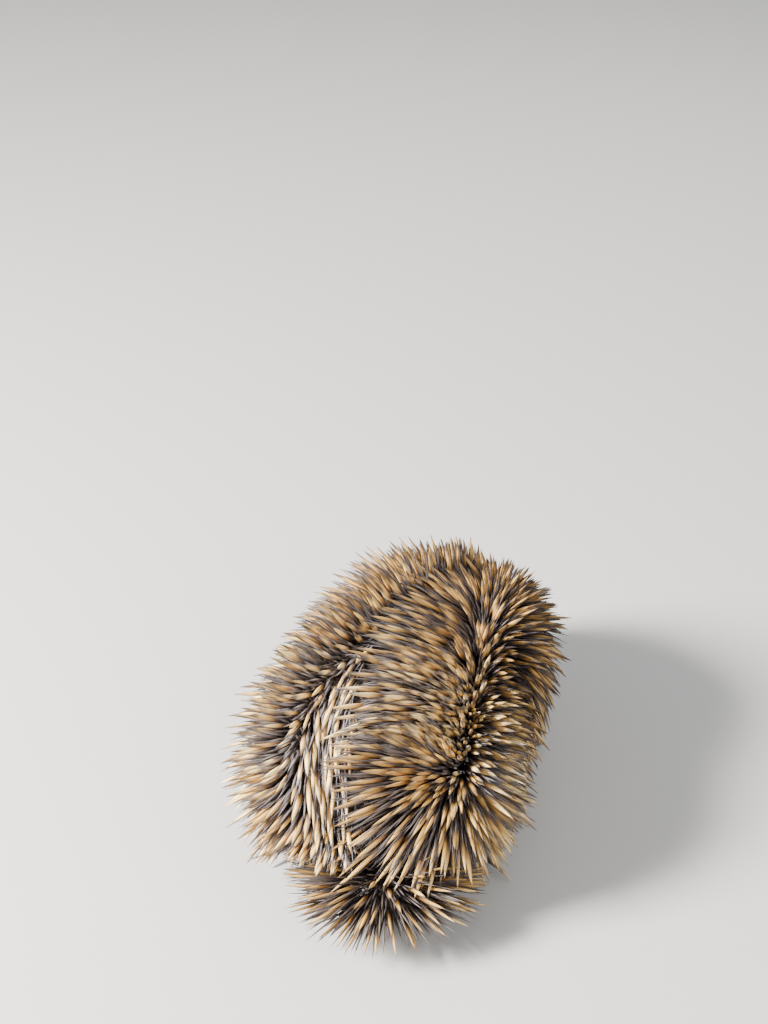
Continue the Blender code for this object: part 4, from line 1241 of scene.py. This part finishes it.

# %% [markdown]
# On the body the thick spines stand nine millimetres apart and the thin ones four. The tint is
# darker ahead, partly as on the real animal and partly as painted shade, darker towards the tail
# as painted shade, and a little paler left of the seam as painted light.

# %% Spines on the body
def body_spines(first, last, reach_down, spacing, lengths, radii, jitter, palest):
    s, angle = body_roots(first, last, spacing, reach_down, draw)
    place, normal, lie = body_lie(s, angle)
    count = len(s)
    long = SPINE_LENGTH * draw.uniform(*lengths, count)
    low = ease(88, 118, abs(angle))
    long *= mix(1, 0.55, ease(0.130, 0.20, s)) * mix(1, 0.7, low * ease(-0.05, 0.0, s))
    long *= mix(1, 0.55, ease(78, 112, -angle) * ease(0.0, 0.06, -s))
    long *= mix(1, 0.55, ease(0.100, 0.126, -s) * ease(0, 12, seam(s) - angle))
    thick = mix(*radii, draw.random(count) ** 1.2) * mix(1, 0.8, ease(0.115, 0.19, s))
    hanging = np.maximum(ease(70, 105, abs(angle)), ease(0.085, 0.12, -s))
    pale = mix(draw.random(count) ** 3, 1.0, hanging * 0.65) * palest
    # Painted shade and light in the tint: darker ahead, partly the real animal's darker tips and partly
    # painted shade; darker towards the tail as painted shade; paler left of the seam as painted light.
    dark_tips_and_shade_ahead = mix(1, 0.3, ease(-0.02, 0.09, s))
    tone = draw.random(count) ** 0.65 * dark_tips_and_shade_ahead * mix(1, 0.35, ease(0.080, 0.110, -s))
    tone = mix(tone, 1.0, 0.25 * ((angle < seam(s)) & (beyond_left(s, angle) < 0)))
    return coat_roots(place, normal, strewn(lie, jitter), long, thick, body_map(s, angle), 0.03,
                      tone=tone, pale=pale)


def grow_body_spines(name, first, last, reach_down):
    thick = body_spines(first, last, reach_down, THICK_SPACING, lengths=(0.82, 1.10),
                        radii=(0.0013, 0.0023), jitter=0.050, palest=1.0)
    thin = body_spines(first, last, reach_down, THIN_SPACING, lengths=(0.58, 0.94),
                       radii=(0.0006, 0.0011), jitter=0.065, palest=0.2)
    return grow_thick(name, thick) + grow_thin(name, thin)


coat = grow_body_spines("spines_rump", REAR + 0.0006, 0.0, 118)
coat += grow_body_spines("spines_back", 0.0, NECK_ROOT, 118)
coat += grow_body_spines("spines_neck", NECK_ROOT, HEAD_ROOT, 106)

# %% [markdown]
# The tail's spines are as long as the rump's but thinner, and they hide the stub. On the crown they
# shrink to bristly points between the ears, which end above the eyes.

# %% Spines on the tail and the crown
def tail_spines(spacing, lengths, radii, jitter, pale):
    s, angle = rows_of_roots(tail_point, TAIL_END + 0.0006, TAIL_CENTRE + 0.014, spacing, 104, draw).T
    place, normal, lie = tail_lie(s, angle)
    count = len(s)
    return coat_roots(place, normal, strewn(lie, jitter),
                      TAIL_SPINE_LENGTH * draw.uniform(*lengths, count),
                      draw.uniform(*radii, count), tail_map(s, angle), 0.02,
                      tone=draw.uniform(0, 0.35, count), pale=draw.uniform(*pale, count))


def grow_tail_spines():
    thick = tail_spines(THICK_SPACING * 0.85, lengths=(0.85, 1.05), radii=(0.0011, 0.0018),
                        jitter=0.06, pale=(0.7, 1.0))
    thin = tail_spines(THIN_SPACING * 0.8, lengths=(0.7, 1.0), radii=(0.0005, 0.0010),
                       jitter=0.09, pale=(0.1, 0.5))
    return grow_thick("spines_tail", thick) + grow_thin("spines_tail", thin)


coat += grow_tail_spines()


def crown_spines(spacing, radii, jitter):
    """Small spines from the nape to just above the eyes."""
    s, angle = rows_of_roots(body_point, HEAD_ROOT, EYE_PLACE - 0.004, spacing, 66, draw).T
    place, normal, lie = body_lie(s, angle)
    count = len(s)
    long = HEAD_SPINE_LENGTH * draw.uniform(0.8, 1.1, count)
    long *= mix(1.15, 0.6, ease(HEAD_ROOT, EYE_PLACE, s))
    return coat_roots(place - normal * fur_inset(s)[:, None], normal, strewn(lie, jitter), long,
                      draw.uniform(*radii, count), body_map(s, angle), 0.03,
                      tone=draw.uniform(0, 0.6, count), pale=draw.uniform(0, 0.3, count))


def grow_crown_spines():
    thick = crown_spines(0.0056, radii=(0.0006, 0.0010), jitter=0.07)
    thin = crown_spines(0.0030, radii=(0.0003, 0.0005), jitter=0.10)
    return grow_thick("spines_crown", thick) + grow_thin("spines_crown", thin)


coat += grow_crown_spines()

# %% [markdown]
# Under the spines grows a coat of dark brown hair. It hides the skin, so that the gaps between the
# spines read nearly black. Coarse tufts do, as little more than their shade is seen.

# %% Underfur
def hair_material(name, stops, roughness):
    """Coarse mammal hair: dark at the root and a little paler and warmer towards the tip."""
    material, tree, shader = new_material(name, roughness)
    along, tone = stored_value(tree, "along"), stored_value(tree, "tone")
    place = maths(tree, "MULTIPLY", maths(tree, "MULTIPLY_ADD", tone, 0.35, along), 0.74)
    tree.links.new(colour_ramp(tree, place, stops), shader.inputs["Base Color"])
    return material


UNDERFUR = hair_material("dark_underfur", [(0.0, "#0c0907"), (0.5, "#1f1712"), (1.0, "#382c23")], 0.75)
UNDERFUR_LENGTH, UNDERFUR_RADIUS = 0.019, 0.00055


def grow_underfur(name, point, first, last, spacing, reach_down, lie_of, map_of, start_angle=0.0):
    s, angle = rows_of_roots(point, first, last, spacing, reach_down, draw, 0.35, start_angle).T
    place, normal, lie = lie_of(s, angle)
    count = len(s)
    lie = unit(mix(lie, normal, 0.25))
    long = UNDERFUR_LENGTH * draw.uniform(0.7, 1.1, count) * mix(1, 0.5, ease(0.13, 0.19, s))
    roots = coat_roots(place, normal, strewn(lie, 0.22), long,
                       UNDERFUR_RADIUS * draw.uniform(0.7, 1.2, count), map_of(s, angle), 0.12,
                       tone=draw.random(count))
    return grow(name, roots, UNDERFUR, sides=3, rings=4, root_share=0.8,
                swell_at=0.3, taper=1.6, seed=6)


coat += grow_underfur("underfur_body", body_point, REAR + 0.001, HEAD_ROOT, 0.0040, 122,
                      body_lie, body_map)
coat += grow_underfur("underfur_tail", tail_point, TAIL_END + 0.001, TAIL_START - 0.01, 0.0036, 118,
                      tail_lie, tail_map)

# %% [markdown]
# The face, the legs and the belly have no spines but short coarse hair that lies flat. Two tones
# serve them all, warmer on the face and darker below. Each hair has three sides and three rings,
# as thousands of them are needed and none is seen by itself.

# %% Short fur
FACE_HAIR = hair_material("face_bristle", [(0.0, "#1a120d"), (0.45, "#4b3626"), (1.0, "#94744f")], 0.55)
LEG_HAIR = hair_material("leg_bristle", [(0.0, "#17110d"), (0.5, "#44332a"), (1.0, "#7d644b")], 0.55)
FACE_HAIR_LENGTH, FACE_HAIR_RADIUS, FACE_HAIR_SPACING = 0.0068, 0.00020, 0.00112
EAR_HAIRS, EAR_HAIR_LENGTH = 1500, 0.0062
BELLY_HAIR_LENGTH, BELLY_HAIR_RADIUS, BELLY_HAIR_SPACING = 0.012, 0.0004, 0.0042
LEG_HAIRS, LEG_HAIR_LENGTH, LEG_HAIR_RADIUS = 2000, 0.0095, 0.00022
FOOT_HAIRS, FOOT_HAIR_LENGTHS = 1700, (0.0045, 0.0080)
CROWN_EDGE, FACE_HAIR_END = 60, 0.259


def short_fur(name, place, normal, back, long, radius, lean, root_map, material):
    count = len(place)
    lie = strewn(leaned(normal, back, np.broadcast_to(lean, count)), 0.13)
    roots = coat_roots(place, normal, lie, long * draw.uniform(0.7, 1.15, count),
                       radius * draw.uniform(0.7, 1.2, count), root_map, 0.14, tone=draw.random(count))
    return grow(name, roots, material, sides=3, rings=3, root_share=0.85,
                swell_at=0.3, taper=1.5, seed=8)


def joined(parts):
    return [np.concatenate(values) for values in zip(*parts)]


print("short hairs are", FACE_HAIR_LENGTH * 1000, "mm long on the face and", LEG_HAIR_LENGTH * 1000,
      "mm on the legs")

# %% [markdown]
# On the face the hair runs back from the beak. It gets shorter round the eyes, so the folds of the
# lids stay in sight, and it thins out over a centimetre where the beak turns bare.

# %% Fur on the face
def grow_face_fur():
    """From the nape under the crown's spines to the root of the beak, thinning out at its end."""
    rows = rows_of_roots(body_point, NECK_ROOT + 0.02, FACE_HAIR_END, FACE_HAIR_SPACING, 180, draw, 0.3)
    s, angle = rows.T
    place, normal, back, _ = surface_axes(body_point, s, angle)
    place = place - normal * fur_inset(s)[:, None]
    shares = [around_eye(place, eye)[0] for eye in (-1, 1)]
    share = np.minimum(*shares)
    covered = (abs(angle) < CROWN_EDGE) & (s < EYE_PLACE - 0.012) & (draw.random(len(s)) > 0.2)
    thinning = draw.random(len(s)) < ease(BARE_FROM, FACE_HAIR_END, s)
    kept = (share > 1.5) & ~covered & ~thinning
    size = mix(1.9, 1.0, ease(NECK_ROOT + 0.03, HEAD_ROOT + 0.02, s))
    size = size * mix(1, 0.45, ease(0.232, FACE_HAIR_END, s))
    size *= mix(0.40, 1.0, ease(1.5, 3.6, share))
    s, angle, place, normal, back, size = (v[kept] for v in (s, angle, place, normal, back, size))
    return short_fur("fur_face", place, normal, back, FACE_HAIR_LENGTH * size, FACE_HAIR_RADIUS,
                     mix(66, 76, ease(0.22, 0.25, s)), body_map(s, angle), FACE_HAIR)


coat += grow_face_fur()

# %% [markdown]
# Hair also grows on the ear's fold. It points back and down, and none grows inside the slit.

# %% Fur on the ears
def grow_ear_fur():
    """The rim and the back of each ear are hairy, and some hairs lean over the slit."""
    axes = np.array(line_axes(EAR_PLACE))[[1, 0, 2]]
    parts = []
    for number, (_, side) in enumerate(SIDES):
        ways = unit(draw.normal(0, 1, (EAR_HAIRS, 3)))
        place, inside = ear_point(ways, side)
        normal = unit((ways / np.array(EAR_SIZE)) @ axes)
        back = -axes[1] - 0.5 * axes[2]
        back = unit(back - normal * (normal @ back)[:, None])
        outward = surface_axes(body_point, EAR_PLACE, side * EAR_ANGLE)[1]
        kept = (inside < -0.05) & ((normal @ outward) > 0.0)
        root_map = map_point(0.90 + 0.06 * ways[:, 0] / 2 - 0.1 * number, 0.90 + 0.06 * ways[:, 1] / 2)
        parts.append([values[kept] for values in (place, normal, back, root_map)])
    place, normal, back, root_map = joined(parts)
    return short_fur("fur_ears", place, normal, back, np.full(len(place), EAR_HAIR_LENGTH),
                     FACE_HAIR_RADIUS, 58, root_map, FACE_HAIR)


coat += grow_ear_fur()

# %% [markdown]
# The belly is out of sight between the legs, so its hair is long, coarse and wide apart. On the legs
# the hair is denser and runs down to the foot, strewn at random over the tube of the leg.

# %% Fur on the belly and the legs
def grow_belly_fur():
    rows = rows_of_roots(body_point, REAR + 0.004, NECK_ROOT + 0.03, BELLY_HAIR_SPACING, 64, draw,
                         wander=0.35, start_angle=180)
    s, angle = rows.T
    place, normal, back, _ = surface_axes(body_point, s, angle)
    return short_fur("fur_belly", place, normal, back, np.full(len(s), BELLY_HAIR_LENGTH),
                     BELLY_HAIR_RADIUS, 72, body_map(s, angle), LEG_HAIR)


def leg_surface(plan, side, share, turn):
    """A place on the leg, with its outward normal and the direction down the leg."""
    _, right, _ = line_axes(plan["along"])
    forward = np.cross([0.0, 0.0, 1.0], right)
    radius = mix(LEG_TOP_RADIUS, LEG_LOW_RADIUS, share) - LEG_FUR_DEPTH * ease(0.9, 0.2, share)
    out = np.outer(np.cos(turn), right) + np.outer(np.sin(turn), forward)
    down = unit(leg_line(plan, side, share + 0.01) - leg_line(plan, side, share))
    return leg_line(plan, side, share) + out * radius[:, None], out, down


def grow_leg_fur():
    parts = []
    for number, (_, plan, _, side) in enumerate(FEET):
        share = draw.uniform(0.25, 1.0, LEG_HAIRS)
        turn = draw.uniform(0, 2 * np.pi, LEG_HAIRS)
        place, normal, down = leg_surface(plan, side, share, turn)
        long = LEG_HAIR_LENGTH * mix(1.1, 0.7, share)
        parts.append((place, normal, down, long, limb_map(number, turn, 0.70 + 0.12 * share)))
    place, normal, down, long, root_map = joined(parts)
    kept = place[:, 2] > 0.006
    return short_fur("fur_legs", place[kept], normal[kept], down[kept], long[kept], LEG_HAIR_RADIUS, 74,
                     root_map[kept], LEG_HAIR)


coat += grow_belly_fur() + grow_leg_fur()

# %% [markdown]
# On the feet the hair is shortest at the sides and points towards the toes, which stay bare.

# %% Fur on the feet
def grow_foot_fur():
    """Short hair on the top and the sides of each foot. The toes and the sole stay bare."""
    parts = []
    for number, (_, plan, _, side) in enumerate(FEET):
        centre, turn, _ = toes_of(plan, side)
        rise = draw.uniform(-0.05, 1.0, FOOT_HAIRS)
        way = draw.uniform(0, 2 * np.pi, FOOT_HAIRS)
        flat = np.sqrt(1 - rise**2)
        ball = np.stack([np.cos(way) * flat, np.sin(way) * flat, rise], -1)
        cosine, sine = math.cos(turn), math.sin(turn)
        spin = np.array([[cosine, -sine, 0], [sine, cosine, 0], [0, 0, 1]])
        place = centre + (ball * np.array(plan["pad"])) @ spin.T
        normal = unit((ball / np.array(plan["pad"])) @ spin.T)
        ahead = spin @ np.array([0.0, 1.0, 0.0])
        ahead = unit(ahead - normal * (normal @ ahead)[:, None])
        parts.append((place, normal, ahead, mix(*FOOT_HAIR_LENGTHS, rise),
                      limb_map(number, way, 0.84 + 0.13 * rise)))
    place, normal, ahead, long, root_map = joined(parts)
    return short_fur("fur_feet", place, normal, ahead, long, LEG_HAIR_RADIUS, 70, root_map, LEG_HAIR)


coat += grow_foot_fur()
print("the coat has", len(coat), "pieces")

# %% [markdown]
# The room is plain: a pale floor, a soft key light high on the camera's left, a weaker and larger
# one on its right, a faint one behind the animal, and a pale sky. The camera stands where the
# photograph was taken from, with a lens whose angle fits how the body narrows away from it.

# %% Floor, light and camera
CAMERA_PLACE = np.array([0.2998, -1.0456, 0.9928])
CAMERA_TURN, CAMERA_DOWN, CAMERA_LENS = 16.522, 32.755, 60.0
LIGHTS = (("key", (-1.75, -1.15, 1.50), 0.7, 610, (0, 0, 0.08)),
          ("fill", (1.6, -0.8, 1.2), 1.6, 44, (0, 0, 0.08)),
          ("back", (0.2, 1.7, 1.5), 1.2, 18, (0, 0, 0.1)))


def make_floor():
    """A matt painted board, wider than the camera sees."""
    bm = bmesh.new()
    bmesh.ops.create_grid(bm, x_segments=1, y_segments=1, size=30.0)
    mesh = mesh_of(bm, "floor")
    material, _, shader = new_material("plain_floor", 0.8)
    shader.inputs["Base Color"].default_value = linear("#a09c96")
    mesh.materials.append(material)
    floor = new_object("floor", mesh)
    floor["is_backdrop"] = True


def make_light(name, place, size, power, target):
    light = bpy.data.lights.new(name, "AREA")
    light.size, light.energy = size, power
    lamp = bpy.data.objects.new(name, light)
    lamp.location = place
    lamp.rotation_euler = (Vector(target) - Vector(place)).to_track_quat("-Z", "Y").to_euler()
    bpy.context.scene.collection.objects.link(lamp)


def make_camera():
    data = bpy.data.cameras.new("camera")
    data.lens = CAMERA_LENS
    camera = bpy.data.objects.new("camera", data)
    camera.location = CAMERA_PLACE + shift
    camera.rotation_euler = (math.radians(90 - CAMERA_DOWN), 0.0, math.radians(CAMERA_TURN))
    bpy.context.scene.collection.objects.link(camera)
    bpy.context.scene.camera = camera


make_floor()
for light in LIGHTS:
    make_light(*light)
world = bpy.context.scene.world or bpy.data.worlds.new("room")
bpy.context.scene.world = world
world.use_nodes = True
sky = world.node_tree.nodes["Background"]
sky.inputs["Color"].default_value = linear("#dfe8f6")
sky.inputs["Strength"].default_value = 0.95
make_camera()
print("one floor,", len(LIGHTS), "lights and a camera of", CAMERA_LENS, "mm")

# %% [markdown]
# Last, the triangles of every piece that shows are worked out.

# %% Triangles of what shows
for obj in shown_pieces():
    obj.data.calc_loop_triangles()
